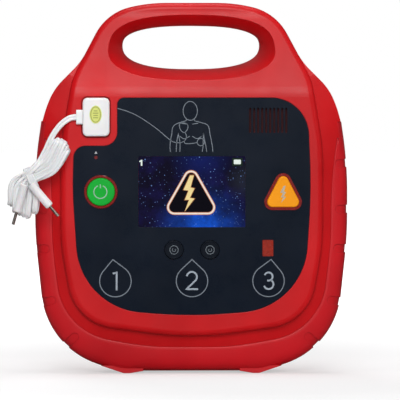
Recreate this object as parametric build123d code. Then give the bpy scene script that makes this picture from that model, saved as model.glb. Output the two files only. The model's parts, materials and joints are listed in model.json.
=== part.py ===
from build123d import *
import math
import os

# Portable defibrillator with a loop handle, front panel, battery drawer and electrode lead.
# Millimetres. Origin: centre of the base, on the floor. +X right, +Y to the back, +Z up.
# The front panel faces -Y and the two housing shells meet in the plane y = 0.

# ---------------------------------------------------------------- housing
HALF_DEPTH = 32.0            # panel plateau to the parting plane
HANDLE_HALF_DEPTH = 17.0     # handle face to the parting plane
SLOPE_START_Z = 187.0        # the plateau leans back above this height
SLOPE_END_Z = 238.0
SLOPE_RADII = (25.0, 20.0)
TOP_Z = 262.0                # above every outline
CREASE_Y = 26.0              # depth of the crease around the plateau
RIM_EDGE_Y = 22.0            # depth of the rim's inner edge
RIM_STEP = 0.8               # the rim stands this far proud of the flange
RIM_PROUD = 0.5              # and this far outside the shells' silhouette
RIM_FULL_Y = 13.0            # the rim has its full width inside this depth
RIM_THICK = 2.5
RIM_TOP_Z = 167.0
RIM_SECTIONS = 4
FLANGE_TOP_Z = 211.0         # the plateau joins the silhouette above this height
WALL = 2.6
PLATEAU_WALL = 3.6
EDGE_RADIUS = 4.0
BASE_Z = 1.9                 # underside of the shells between the feet

# Half outlines as (x, z, corner radius), from the top centre down the right side.
SILHOUETTE = [
    (28.7, 245.8, 100.0),
    (56.1, 239.3, 34.5),
    (73.4, 206.4, 45.0),
    (91.4, 188.4, 39.0),
    (98.7, 170.3, 88.0),
    (103.2, 138.5, 250.0),
    (103.2, 91.0, 280.0),
    (95.4, 17.5, 54.0),
    (49.0, BASE_Z, 12.0),
]
PLATEAU = [
    (28.7, 245.8, 100.0),
    (56.1, 239.3, 34.5),
    (79.3, 195.2, 40.0),
    (86.9, 150.0, 150.0),
    (86.9, 86.6, 150.0),
    (77.6, 33.8, 34.0),
]
PLATEAU_BOTTOM = (0.0, 23.6, 200.0)
FLANGE_EDGE_TOP = [(102.0, TOP_Z, 0.0), (102.0, 188.0, 0.0)]
RIM_EDGE_TOP = [(96.9, 175.0, 0.0)]
RIM_EDGE = [
    (93.6, 125.0, 200.0),
    (93.6, 88.0, 200.0),
    (87.0, 26.3, 43.0),
    (29.2, 15.9, 150.0),
]
RIM_OUTER_TOP = [(98.0, 175.0, 0.0)]
RIM_OUTER = SILHOUETTE[5:]

# Relief notches in the rim as (x, z, outward angle, length).
RIM_NOTCHES = [
    (98.7, 139.3, 4.0, 7.0),
    (98.7, 109.0, 0.0, 7.0),
    (97.9, 82.9, -3.0, 7.5),
    (94.2, 48.3, -12.0, 8.5),
    (79.2, 22.8, -45.0, 10.0),
]
NOTCH_WIDTH = 5.6
NOTCH_DEPTH = 0.7

# Two feet and the bar that joins them behind, in one plane with the floor.
# A foot's profile runs from its flat sole up to the rim, as (x, z).
FOOT_SOLE = (41.0, 45.0)
FOOT_TOP_Z = 5.0
FOOT = [(FOOT_SOLE[0], 0.0), (FOOT_SOLE[1], 0.0), (60.0, FOOT_TOP_Z), (32.0, FOOT_TOP_Z), (32.0, 1.5)]
FOOT_HALF_DEPTH = 18.0
FOOT_BAR = 7.0

# ---------------------------------------------------------------- handle opening
OPENING_Z = 217.6            # height where the opening is widest
OPENING_HALF_WIDTH = 45.5
OPENING_UP = 12.9            # rise of the opening above its widest height
OPENING_DOWN = 15.8
OPENING_FULLNESS = 2.5       # exponent of the superellipse, 2 for a plain ellipse
OPENING_POINTS = 24
RING_Y = 20.0
RING_FLARE = (0.17, 0.72, 0.25)  # widening of the opening at RING_Y: across, up and down
RING_POWER = 1.5
RING_SECTIONS = 5
GRIP_WALL = 3.2

# ---------------------------------------------------------------- front panel
PANEL_RECESS = 1.0
PANEL_THICK = 0.85
PANEL_GAP = 0.25
PANEL_TOP_Z = 183.0
NOTCH_Z = 151.3
NOTCH_X = -49.3
PANEL = [
    (NOTCH_X, PANEL_TOP_Z, 4.5),
    (76.2, PANEL_TOP_Z, 25.0),
    (78.8, 121.0, 400.0),
    (73.6, 44.5, 46.0),
    (0.0, 38.7, 300.0),
    (-73.6, 44.5, 46.0),
    (-78.8, 121.0, 300.0),
    (-78.0, NOTCH_Z, 8.0),
    (NOTCH_X, NOTCH_Z, 9.0),
]
CONTROL_Z = 121.0
CONTROL_X = 60.2
CAP_RADIUS = 9.1
CAP_GAP = 0.25
CAP_PROUD = 1.6
CAP_LIP = 1.5                # width of the lip that keeps a cap in
CAP_LIP_THICK = 1.0
STEM_RADIUS = 3.0
RING_RADIUS = 11.0
RING_PROUD = 0.6
PRESS = 1.0
TRIANGLE_HALF_WIDTH = 10.5
TRIANGLE_HEIGHT = 20.2
TRIANGLE_RADIUS = 3.4
TRIANGLE_RIM = 1.75
KEY_X = 11.9
KEY_Z = 82.6
KEY_RADIUS = 6.2
KEY_PROUD = 0.4
KEY_RING = (5.2, 5.9, 0.35)  # raised ring on a key: inner and outer radius, height
KEY_PRESS = 0.4
DISPLAY_SIZE = (70.6, 46.8)
DISPLAY_LIP = 0.6
MODULE_SIZE = (82.0, 56.0)
MODULE_THICK = 3.2
FRAME_MARGIN = 2.6
IR_SIZE = (7.2, 10.8)
IR_CENTRE = (50.2, 83.7)
LED_CENTRE = (-63.4, 143.7)
LENS_RADIUS = 1.1
LED_SIZE = (1.5, 1.6)
GRILLE_X = 50.3
GRILLE_Z = 168.2
GRILLE_SLOTS = 10
GRILLE_PITCH = 2.65
GRILLE_SLOT = (1.3, 16.4)
CLOTH_THICK = 0.4
SPEAKER_RADIUS = 14.0
SPEAKER_DEPTH = 6.0
SPEAKER_WALL = 0.8
COIL_RADIUS = 4.0
COIL_WALL = 0.5
CONE_RADIUS = 12.2
CONE_RISE = 3.4
CONE_THICK = 0.35
MAGNET_RADIUS = 8.0
MAGNET_DEPTH = 4.0

# ---------------------------------------------------------------- electrode plug and lead
PLUG_X = -63.3
PLUG_Z = 170.4
PLUG_SIZE = (17.7, 25.3)
PLUG_CORNER = 3.3
PLUG_PROUD = 5.0
WELL_SIZE = (19.6, 27.2)
WELL_DEPTH = 3.0
WELL_WALL = 3.0
SOCKET_SIZE = (13.0, 17.0)
SOCKET_DEPTH = 12.0
PRONG_RADIUS = 1.5
PRONG_LENGTH = 8.0
PRONG_DROP = 4.5             # prongs sit this far above and below the plug's centre
CONTACT_WALL = 0.5
TAIL_LENGTH = 2.5            # solder tail behind each socket contact
WIRE_RADIUS = 0.9
RUNNING_GAP = 0.05
LABEL_SIZE = (8.0, 11.8)
CABLE_SIZE = (2.0, 4.0)
SLEEVE_SIZE = (4.2, 4.0, 9.6)
CABLE_PATH = [
    (-75.6, -34.2, 170.4),
    (-84.5, -35.0, 167.0),
    (-91.5, -37.5, 159.0),
    (-96.0, -39.3, 148.5),
]
HANK_TOP = (-86.5, -40.0, 153.0)
HANK_BOTTOM = (-113.5, -34.0, 103.5)
# The hank's sections as (share of its length, width, thickness).
HANK_SECTIONS = [
    (0.0, 9.0, 7.0),
    (0.22, 25.0, 12.0),
    (0.47, 11.5, 10.5),
    (0.75, 22.0, 12.0),
    (1.0, 9.0, 7.0),
]
END_PLUG_RADIUS = 2.75
END_PLUG_LENGTH = 19.0
END_PLUG_Y = -46.0
PIN_RADIUS = 1.0
PIN_LENGTH = 8.5
PIN_ROOT_RADIUS = 1.3        # the thicker part inside the plug
PIN_ROOT_LENGTH = 6.0
# Each lead end as x and z of the plug's mouth, and the direction its pin points.
LEAD_ENDS = [(-93.7, 112.0, -49.4), (-115.6, 108.2, -105.7)]

# ---------------------------------------------------------------- battery
BAY_SIZE = (100.0, 84.0)
BAY_Z = 82.0
BAY_FLOOR_Y = 8.0
BAY_WALL = 2.2
BAY_GAP = 0.3
BAY_CORNER = 5.0
COVER_THICK = 2.6
CASE_WALL = 2.0
CELL_RADIUS = 8.5
CELL_LENGTH = 34.5
CELL_COLUMNS = 5
CELL_PITCH = 18.4
TERMINAL_X = 12.0
TERMINAL_Z = 56.0
LATCH_SIZE = (24.0, 12.0)
LATCH_TRAVEL = 3.0
LATCH_Z = 112.0
LATCH_TONGUE = (16.0, 2.4)
LATCH_THICK = 1.8
LATCH_RIBS = 4
SPRING_WIRE = 0.4
SPRING_HALF_WIDTH = 4.0
SPRING_BENDS = 3
SPRING_SHUT = 1.8            # its height when the latch is all the way down

# ---------------------------------------------------------------- inside
SCREW_PLACES = [(84.0, 146.0), (84.0, 66.0), (64.0, 42.0), (57.0, 215.0)]
BOSS_RADIUS = 4.5
BOSS_REACH = 29.5
SCREW_SEAT_Y = 13.0
SCREW_RADIUS = 1.9
SCREW_HEAD = (3.5, 2.6)
INSERT_RADIUS = 2.9
INSERT_LENGTH = 7.0
BOARD_THICK = 1.6
FRONT_BOARD_Y = -23.4
FRONT_BOARD = (-70.0, 70.0, 48.0, 150.0)
FRONT_POSTS = [(66.0, 137.2), (65.0, 54.0)]
MAIN_BOARD_Y = -12.0
MAIN_BOARD = (-72.0, 72.0, 48.0, 184.0)
MAIN_POSTS = [(68.0, 176.0), (68.0, 53.0)]
POST_RADIUS = 3.2
POST_SCREW = (1.2, 5.0, 2.4, 1.6)
SWITCH_SIZE = 5.2
SWITCH_HEIGHT = 2.2
DOME_WALL = 0.6
GASKET_WIDTH = 1.0
GASKET_INSET = 0.8
GASKET_HEIGHT = 0.6
CAPACITOR_RADIUS = 17.0
CAPACITOR_LENGTH = 78.0
CAPACITOR_PLACE = (-12.0, 8.0, 164.0)

RIBBON_SIZE = (24.0, 0.8)
RIBBON_Z = 112.0
HANDLE_SEAT_Y = 9.0          # the handle's screws sit nearer the parting plane
PAD_PLACES = [(68.0, 160.0), (67.0, 62.0)]
PAD_RADIUS = 6.0
PAD_SINK = 1.0
PAD_PROUD = 1.5
PLATE_Z = 150.0
PLATE_SIZE = (64.0, 26.0)
PLATE_THICK = 0.5
TRANSFORMER = (65.5, 104.0)
INDUCTOR = (-65.5, 108.0)
RELAY = (36.0, 135.0)
HEATSINK = (-8.0, 135.0)
HEATSINK_SIZE = (60.0, 16.0)
HEATSINK_FINS = 7
MODULE_STEP = 15.0           # between neighbouring switching devices
MODULE_HEIGHT = 5.2

BACK = (0, 1, 0)
FACE_Y = -HALF_DEPTH
RECESS_Y = FACE_Y + PANEL_RECESS
PANEL_Y = RECESS_Y - PANEL_THICK
INNER_Y = FACE_Y + PLATEAU_WALL
WELL_Y = FACE_Y + WELL_DEPTH
SPEAKER_Y = INNER_Y + CLOTH_THICK + 0.2
BOARD_BACK_Y = MAIN_BOARD_Y + BOARD_THICK
STEM_Y = FRONT_BOARD_Y - SWITCH_HEIGHT - PRESS - 0.02
KEY_STEM_Y = FRONT_BOARD_Y - SWITCH_HEIGHT - KEY_PRESS - 0.02
CONTACT_RADIUS = PRONG_RADIUS + RUNNING_GAP + CONTACT_WALL
TRIANGLE_APEX = math.radians(27.0)     # half the angle at the triangle's point
LABEL_PLACE = (-63.6, 172.1)


# ---------------------------------------------------------------- helpers
def front_plane(y):
    """The plane at depth y whose drawing axes are +X and +Z."""
    return Plane(origin=(0, y, 0), x_dir=(1, 0, 0), z_dir=(0, -1, 0))


def both_sides(half, bottom=None):
    """A full closed outline from a right half outline."""
    left = [(-x, z, r) for x, z, r in reversed(half)]
    middle = [bottom] if bottom else []
    return half + middle + left


def corner_sides(corners, i):
    """A corner, and the directions from it back to the one before and on to the next."""
    here = Vector(corners[i][0], corners[i][1])
    before = Vector(corners[i - 1][0], corners[i - 1][1])
    after = Vector(*corners[(i + 1) % len(corners)][:2])
    return here, (before - here).normalized(), (after - here).normalized()


def half_angle(back, onward):
    return math.acos(max(-1.0, min(1.0, back.dot(onward)))) / 2


def grown_corners(corners, grow):
    """A clockwise outline with every side moved outwards, its arcs kept concentric."""
    moved = []
    for i, (_, _, radius) in enumerate(corners):
        here, back, onward = corner_sides(corners, i)
        convex = 1 if back.cross(onward).Z > 0 else -1
        shift = (back + onward).normalized() * (-convex * grow / math.sin(half_angle(back, onward)))
        there = here + shift
        moved.append((there.X, there.Y, max(radius + convex * grow, 0.0) if radius else 0.0))
    return moved


def corner_arc(corners, i):
    """Start, middle and end of the arc that rounds a corner."""
    here, back, onward = corner_sides(corners, i)
    radius = corners[i][2]
    half = half_angle(back, onward)
    reach = radius / math.tan(half)
    bulge = radius / math.sin(half) - radius
    return here + back * reach, here + (back + onward).normalized() * bulge, here + onward * reach


def rounded_wire(corners):
    """Straight runs joined by arcs, from (x, z, radius) corners."""
    arcs = [corner_arc(corners, i) for i in range(len(corners))]
    edges = []
    for i, (start, middle, end) in enumerate(arcs):
        if corners[i][2] > 0:
            edges.append(Edge.make_three_point_arc(start, middle, end))
        edges.append(Edge.make_line(end, arcs[(i + 1) % len(arcs)][0]))
    return Wire(edges)


def face_at(corners, y, grow=0.0):
    """A rounded polygon in the plane y, grown outwards by grow."""
    return front_plane(y) * Face(rounded_wire(grown_corners(corners, grow) if grow else corners))


def slab(face, depth):
    """A face pushed back along +Y."""
    return extrude(face, amount=depth, dir=BACK)


def plate(x, z, size, y0, y1, corner=0.0):
    """A plate centred on (x, z) between the depths y0 and y1."""
    shape = RectangleRounded(*size, corner) if corner else Rectangle(*size)
    return slab(front_plane(y0) * Pos(x, z) * shape, y1 - y0)


def rod(x, z, radius, y0, y1):
    """A round bar along Y."""
    return slab(front_plane(y0) * Pos(x, z) * Circle(radius), y1 - y0)


def tube(x, z, outer, inner, y0, y1):
    """A round tube along Y."""
    return rod(x, z, outer, y0, y1) - rod(x, z, inner, y0 - 1, y1 + 1)


def block(x0, x1, y0, y1, z0, z1):
    """A box from its two corners."""
    centre = ((x0 + x1) / 2, (y0 + y1) / 2, (z0 + z1) / 2)
    return Pos(*centre) * Box(x1 - x0, y1 - y0, z1 - z0)


def grown(size, margin):
    """A width and height with the same margin added on every side."""
    return (size[0] + 2 * margin, size[1] + 2 * margin)


def mirrored(places):
    """Each place and its mirror image across x = 0."""
    return [(side * x, z) for x, z in places for side in (1, -1)]


def group(parts):
    """Separate solids kept in one node."""
    solids = []
    for part in parts:
        solids += part.solids()
    return Compound(children=solids)


def ruled_between(near, far):
    """A straight-sided transition between two faces with unlike corners."""
    wires = [near.wires()[0], far.wires()[0]]
    return Part(Solid.make_loft(wires, True).wrapped)


def to_back(part):
    """The mirror image of a front half, behind the parting plane."""
    return mirror(part, about=Plane.XZ)


def below(z):
    """All the space under a height."""
    return block(-130, 130, -60, 60, -10, z)


# ---------------------------------------------------------------- outer form of the housing
def side_profile(inset):
    """The space behind the leaning front face, moved back by inset."""
    face_y = inset - HALF_DEPTH
    handle_y = inset - HANDLE_HALF_DEPTH
    leaning = [(face_y, SLOPE_START_Z, SLOPE_RADII[0]), (handle_y, SLOPE_END_Z, SLOPE_RADII[1])]
    front = [(1, -5, 0), (face_y, -5, 0)] + leaning + [(handle_y, TOP_Z, 0), (1, TOP_Z, 0)]
    return extrude(Plane.YZ * Face(rounded_wire(front)), amount=130, both=True)


def plateau_form(grow, inset):
    """The raised front with the handle, in front of the parting plane."""
    outline = face_at(both_sides(PLATEAU, PLATEAU_BOTTOM), -HALF_DEPTH - 2, grow)
    return slab(outline, HALF_DEPTH + 2) & side_profile(inset)


def rounded_plateau():
    """The plateau with its front edge rounded."""
    form = plateau_form(0, 0)
    front = form.edges().filter_by(lambda e: e.bounding_box().max.Y < 1.5 - HANDLE_HALF_DEPTH)
    return fillet(front, EDGE_RADIUS)


def silhouette_slab(y, grow):
    """The silhouette from the depth y to the parting plane."""
    return slab(face_at(both_sides(SILHOUETTE), y, grow), -y)


def flange_form(y_shift, grow):
    """The dished border between the plateau's crease and the rim's inner edge."""
    crease = face_at(both_sides(PLATEAU, PLATEAU_BOTTOM), y_shift - CREASE_Y, grow)
    edge = face_at(both_sides(FLANGE_EDGE_TOP + RIM_EDGE), y_shift - RIM_EDGE_Y, grow)
    return ruled_between(crease, edge) + slab(edge, RIM_EDGE_Y - y_shift)


def rim_section(turn, grow, step):
    """The rim's outline part of the way round its quarter-ellipse, turn in radians."""
    share = math.sin(turn)
    edge_y = RIM_EDGE_Y + step
    full_y = RIM_FULL_Y + grow
    depth = full_y + (edge_y - full_y) * math.cos(turn)
    inner = RIM_EDGE_TOP + RIM_EDGE
    outer = RIM_OUTER_TOP + RIM_OUTER
    corners = [tuple(a + (b - a) * share for a, b in zip(*pair)) for pair in zip(inner, outer)]
    return face_at(both_sides(corners), -depth, grow * share)


def rim_form(grow, step):
    """The bulk of the rim, bulging from its inner edge out to the silhouette."""
    turns = [math.pi / 2 * i / (RIM_SECTIONS - 1) for i in range(RIM_SECTIONS)]
    sections = [rim_section(turn, grow, step) for turn in turns]
    return loft(sections) + slab(sections[-1], -sections[-1].center().Y)


def shell_outside():
    """The outer surface of one housing shell, as it is under the rim."""
    flange = flange_form(0, 0)
    upper = flange & silhouette_slab(-HALF_DEPTH, 0) & side_profile(3)
    upper = upper & block(-130, 130, -60, 60, RIM_TOP_Z, FLANGE_TOP_Z)
    lower = flange & silhouette_slab(-HALF_DEPTH, -RIM_THICK) & below(RIM_TOP_Z)
    seat = rim_form(-RIM_THICK, 0) & below(RIM_TOP_Z)
    return rounded_plateau() + upper + lower + seat


def opening_section(y, extra):
    """The handle opening's outline at the depth y, widened by extra."""
    flare = (abs(min(y, 0.0)) / RING_Y) ** RING_POWER
    width = OPENING_HALF_WIDTH * (1 + RING_FLARE[0] * flare) + extra
    rise = OPENING_UP * (1 + RING_FLARE[1] * flare) + extra
    drop = OPENING_DOWN * (1 + RING_FLARE[2] * flare) + extra
    points = []
    for i in range(OPENING_POINTS):
        turn = 2 * math.pi * i / OPENING_POINTS
        x = width * rounded_share(math.sin(turn))
        z = (rise if math.cos(turn) > 0 else drop) * rounded_share(math.cos(turn))
        points.append((x, OPENING_Z + z))
    return front_plane(y) * make_face(Spline(*points, periodic=True))


def rounded_share(value):
    """A sine or cosine pushed outwards, from an ellipse towards a rounded rectangle."""
    return math.copysign(abs(value) ** (2 / OPENING_FULLNESS), value)


def opening_form(extra):
    """The flared hole that a hand goes through, in the front half."""
    depths = [-HALF_DEPTH * i / RING_SECTIONS for i in range(RING_SECTIONS + 1)]
    flared = loft([opening_section(y, extra) for y in depths])
    return flared + slab(opening_section(0, extra), 1)


def shell_cavity():
    """The hollow of one housing shell."""
    opening = opening_form(GRIP_WALL)
    chest = plateau_form(-WALL, PLATEAU_WALL) & below(PANEL_TOP_Z + 8)
    depth = RIM_EDGE_Y - WALL
    flange = slab(face_at(both_sides(FLANGE_EDGE_TOP + RIM_EDGE), -depth, -WALL), depth)
    flange = flange & silhouette_slab(-HALF_DEPTH, -RIM_THICK - WALL) & below(PANEL_TOP_Z + 5)
    middle = silhouette_slab(WALL + 1 - RIM_FULL_Y, -RIM_THICK - WALL) & below(PANEL_TOP_Z + 5)
    grip = silhouette_slab(-HANDLE_HALF_DEPTH + PLATEAU_WALL, -GRIP_WALL)
    grip = grip & block(-130, 130, -60, 60, PANEL_TOP_Z - 2, TOP_Z)
    return chest + flange + middle + grip - opening


def gasket_ring(grow, half_height):
    """A cord that follows the parting line inside the shells' edge."""
    outer = face_at(both_sides(SILHOUETTE), -half_height, grow)
    inner = face_at(both_sides(SILHOUETTE), -half_height, grow - GASKET_WIDTH)
    return slab(outer, 2 * half_height) - slab(inner, 2 * half_height)


def housing_gasket():
    """The cord steps inwards where the shells run under the rim."""
    lower = gasket_ring(-RIM_THICK - GASKET_INSET, GASKET_HEIGHT) & below(RIM_TOP_Z + 1)
    upper = gasket_ring(-GASKET_INSET, GASKET_HEIGHT) - below(RIM_TOP_Z + 1)
    outer = face_at(both_sides(SILHOUETTE), -GASKET_HEIGHT, -GASKET_INSET)
    inner = face_at(both_sides(SILHOUETTE), -GASKET_HEIGHT, -RIM_THICK - GASKET_INSET - GASKET_WIDTH)
    step = slab(outer, 2 * GASKET_HEIGHT) - slab(inner, 2 * GASKET_HEIGHT)
    step = step & block(-130, 130, -5, 5, RIM_TOP_Z + 1, RIM_TOP_Z + 1 + GASKET_WIDTH)
    return lower + step + upper


def screw_bosses():
    """Round posts that hold the inserts in front and the screws behind."""
    return [rod(x, z, BOSS_RADIUS, -BOSS_REACH, 0) for x, z in mirrored(SCREW_PLACES)]


def half_shell():
    """One hollow housing shell before its own cut-outs."""
    outside = shell_outside() - opening_form(0)
    shell = outside - shell_cavity()
    for boss in screw_bosses():
        shell = shell + (boss & outside)
    return shell - housing_gasket()


# ---------------------------------------------------------------- rim
def notch_cutter(x, z, angle, length):
    """A slot with a round inner end that runs out through the silhouette."""
    inner = Pos(-length / 2 + NOTCH_WIDTH / 2, 0) * Circle(NOTCH_WIDTH / 2)
    straight = Pos(length, 0) * Rectangle(3 * length - NOTCH_WIDTH, NOTCH_WIDTH)
    outline = front_plane(-HALF_DEPTH) * Pos(x, z) * Rot(0, 0, angle) * (inner + straight)
    return slab(outline, HALF_DEPTH - 2)


def rim_half():
    """The rim's front half as a solid block, with its relief notches."""
    bulk = rim_form(RIM_PROUD, RIM_STEP) & below(RIM_TOP_Z)
    floor = rim_form(RIM_PROUD - NOTCH_DEPTH, RIM_STEP - NOTCH_DEPTH)
    for x, z, angle, length in RIM_NOTCHES:
        for cutter in (notch_cutter(x, z, angle, length), notch_cutter(-x, z, 180 - angle, length)):
            bulk = bulk - (cutter - floor)
    return bulk


def feet():
    """Two wedge-shaped ridges and the bar that joins them, all standing on the floor."""
    inner = FOOT_SOLE[0] + 1
    stand = block(-inner, inner, FOOT_HALF_DEPTH - FOOT_BAR, FOOT_HALF_DEPTH, 0, FOOT_TOP_Z)
    for side in (-1, 1):
        profile = make_face(Polyline(*[(side * x, z) for x, z in FOOT], close=True))
        stand = stand + slab(front_plane(-FOOT_HALF_DEPTH) * profile, 2 * FOOT_HALF_DEPTH)
    return stand


def rim_bumper():
    half = rim_half()
    rim = half + to_back(half) + feet()
    inside = shell_outside()
    return rim - inside - to_back(inside)


# ---------------------------------------------------------------- shapes on the front panel
def triangle_face(y, margin):
    """The shock button's rounded triangle, point up, in the plane y."""
    low = CONTROL_Z - TRIANGLE_HEIGHT / 2
    apex_rise = TRIANGLE_RADIUS * (1 / math.sin(TRIANGLE_APEX) - 1)
    corner_run = TRIANGLE_RADIUS / math.tan(math.pi / 4 - TRIANGLE_APEX / 2) - TRIANGLE_RADIUS
    half_base = TRIANGLE_HALF_WIDTH + corner_run
    apex = low + TRIANGLE_HEIGHT + apex_rise
    corners = [(0.0, apex), (half_base, low), (-half_base, low)]
    rounded = [(x, z, TRIANGLE_RADIUS) for x, z in corners]
    return Pos(CONTROL_X, 0, 0) * face_at(rounded, y, margin)


def cap_holes():
    """Openings in the front shell for the two large buttons."""
    power = rod(-CONTROL_X, CONTROL_Z, CAP_RADIUS + CAP_GAP, FACE_Y - 1, INNER_Y + 1)
    shock = slab(triangle_face(FACE_Y - 1, CAP_GAP), PLATEAU_WALL + 2)
    return [power, shock]


def key_holes():
    return [rod(x, KEY_Z, KEY_RADIUS + CAP_GAP, FACE_Y - 1, INNER_Y + 1) for x in (-KEY_X, KEY_X)]


def grille_slots(y0, y1):
    first = GRILLE_X - GRILLE_PITCH * (GRILLE_SLOTS - 1) / 2
    radius = GRILLE_SLOT[0] / 2 - 0.01
    centres = [first + i * GRILLE_PITCH for i in range(GRILLE_SLOTS)]
    return [plate(x, GRILLE_Z, GRILLE_SLOT, y0, y1, radius) for x in centres]


def panel_overlay():
    """The inset panel with its window, button and grille openings."""
    panel = slab(face_at(PANEL, PANEL_Y), PANEL_THICK)
    y0, y1 = PANEL_Y - 1, RECESS_Y + 1
    panel = panel - plate(0, CONTROL_Z, grown(DISPLAY_SIZE, RUNNING_GAP), y0, y1, 0.8)
    panel = panel - rod(-CONTROL_X, CONTROL_Z, RING_RADIUS + RUNNING_GAP, y0, y1)
    panel = panel - slab(triangle_face(y0, TRIANGLE_RIM + CAP_GAP + RUNNING_GAP), y1 - y0)
    panel = panel - plate(*IR_CENTRE, grown(IR_SIZE, RUNNING_GAP), y0, y1, 0.6)
    panel = panel - rod(*LED_CENTRE, LENS_RADIUS + RUNNING_GAP, y0, y1)
    for cutter in key_holes() + grille_slots(y0, y1):
        panel = panel - cutter
    return panel


def power_ring():
    y0 = PANEL_Y - RING_PROUD
    ring = tube(-CONTROL_X, CONTROL_Z, RING_RADIUS, CAP_RADIUS + CAP_GAP, y0, RECESS_Y)
    return chamfer(outer_front_edges(ring, y0), 0.3)


def shock_ring():
    y0 = PANEL_Y - RING_PROUD
    ring = slab(triangle_face(y0, TRIANGLE_RIM + CAP_GAP), RECESS_Y - y0)
    return ring - slab(triangle_face(y0 - 1, CAP_GAP), 4)


def outer_front_edges(part, y):
    return part.edges().filter_by(lambda e: abs(e.bounding_box().max.Y - y) < 0.001)


def power_button():
    """A round cap with a retaining lip and a stem behind it."""
    front = PANEL_Y - CAP_PROUD
    cap = rod(-CONTROL_X, CONTROL_Z, CAP_RADIUS, front, INNER_Y + 0.1)
    cap = fillet(outer_front_edges(cap, front), 0.8)
    lip = rod(-CONTROL_X, CONTROL_Z, CAP_RADIUS + CAP_LIP, INNER_Y + 0.05, INNER_Y + CAP_LIP_THICK)
    stem = rod(-CONTROL_X, CONTROL_Z, STEM_RADIUS, INNER_Y + 0.5, STEM_Y)
    return cap + lip + stem


def shock_button():
    """A triangular cap with a retaining lip and a stem behind it."""
    front = PANEL_Y - CAP_PROUD
    cap = slab(triangle_face(front, 0), INNER_Y + 0.1 - front)
    cap = fillet(outer_front_edges(cap, front), 0.8)
    lip = slab(triangle_face(INNER_Y + 0.05, CAP_LIP), CAP_LIP_THICK - 0.05)
    stem = rod(CONTROL_X, CONTROL_Z, STEM_RADIUS, INNER_Y + 0.5, STEM_Y)
    return cap + lip + stem


def key_cap(x):
    """A small round key with a raised ring, a lip and a stem."""
    front = PANEL_Y - KEY_PROUD
    cap = rod(x, KEY_Z, KEY_RADIUS, front, INNER_Y + 0.1)
    cap = chamfer(outer_front_edges(cap, front), 0.2)
    ring = tube(x, KEY_Z, KEY_RING[1], KEY_RING[0], front - KEY_RING[2], front + 0.1)
    lip = rod(x, KEY_Z, KEY_RADIUS + 1, INNER_Y + 0.05, INNER_Y + CAP_LIP_THICK)
    stem = rod(x, KEY_Z, STEM_RADIUS - 1, INNER_Y + 0.5, KEY_STEM_Y)
    return cap + ring + lip + stem


def button_dome(x):
    """A hollow rubber cone between a stem and its switch's surround."""
    outer = loft([disc(x, FRONT_BOARD_Y, 6.0), disc(x, STEM_Y, 4.0)])
    inner = loft([disc(x, FRONT_BOARD_Y, 6.0 - DOME_WALL), disc(x, STEM_Y, 4.0 - DOME_WALL)])
    return outer - inner


def disc(x, y, radius):
    return front_plane(y) * Pos(x, CONTROL_Z) * Circle(radius)


def display_window():
    return plate(0, CONTROL_Z, DISPLAY_SIZE, PANEL_Y, RECESS_Y, 0.8)


def display_module():
    y0 = INNER_Y + 0.1
    return plate(0, CONTROL_Z, MODULE_SIZE, y0, y0 + MODULE_THICK, 1.0)


def display_frame():
    outer = plate(0, CONTROL_Z, grown(MODULE_SIZE, FRAME_MARGIN), INNER_Y, FRONT_BOARD_Y, 2.0)
    return outer - plate(0, CONTROL_Z, grown(MODULE_SIZE, 0.15), INNER_Y - 1, FRONT_BOARD_Y + 1, 1.0)


def ir_window():
    size = grown(IR_SIZE, -RUNNING_GAP)
    lip = plate(*IR_CENTRE, grown(IR_SIZE, 1.0), INNER_Y, INNER_Y + 0.8, 0.6)
    return plate(*IR_CENTRE, size, PANEL_Y - 0.1, INNER_Y + 0.2, 0.6) + lip


def status_lens():
    stem = rod(*LED_CENTRE, LENS_RADIUS, PANEL_Y - 0.15, INNER_Y + 0.2)
    return stem + rod(*LED_CENTRE, LENS_RADIUS + 0.8, INNER_Y, INNER_Y + 0.8)


def grille_cloth():
    size = (GRILLE_PITCH * GRILLE_SLOTS + 1.5, GRILLE_SLOT[1] + 2.5)
    return plate(GRILLE_X, GRILLE_Z, size, INNER_Y, INNER_Y + CLOTH_THICK, 1.5)


# ---------------------------------------------------------------- loudspeaker
def speaker_frame():
    """A round basket with a flange in front and an open centre behind."""
    y0 = SPEAKER_Y
    y1 = SPEAKER_Y + SPEAKER_DEPTH
    inside = SPEAKER_RADIUS - 2 * SPEAKER_WALL
    flange = tube(GRILLE_X, GRILLE_Z, SPEAKER_RADIUS, inside, y0, y0 + 1.5)
    basket = tube(GRILLE_X, GRILLE_Z, SPEAKER_RADIUS - SPEAKER_WALL, inside, y0 + 1, y1)
    back = tube(GRILLE_X, GRILLE_Z, SPEAKER_RADIUS - SPEAKER_WALL, COIL_RADIUS + 0.2, y1 - 1, y1)
    return flange + basket + back


def speaker_cone():
    """A shallow paper cone with its voice-coil neck."""
    bore = COIL_RADIUS - COIL_WALL
    neck = SPEAKER_DEPTH + 0.6
    outline = [(CONE_RADIUS, 0), (COIL_RADIUS, CONE_RISE), (COIL_RADIUS, neck), (bore, neck)]
    outline += [(bore, CONE_RISE - CONE_THICK), (CONE_RADIUS, -CONE_THICK)]
    turned = revolve(Plane.XY * make_face(Polyline(*outline, close=True)), axis=Axis.Y)
    return Pos(GRILLE_X, SPEAKER_Y + 0.2, GRILLE_Z) * turned


def speaker_magnet():
    """A magnet with a ring-shaped gap that the voice coil reaches into."""
    y0 = SPEAKER_Y + SPEAKER_DEPTH
    body = rod(GRILLE_X, GRILLE_Z, MAGNET_RADIUS, y0, y0 + MAGNET_DEPTH)
    return body - tube(GRILLE_X, GRILLE_Z, COIL_RADIUS + 0.2, COIL_RADIUS - COIL_WALL - 0.3, y0 - 1, y0 + 3)


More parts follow.
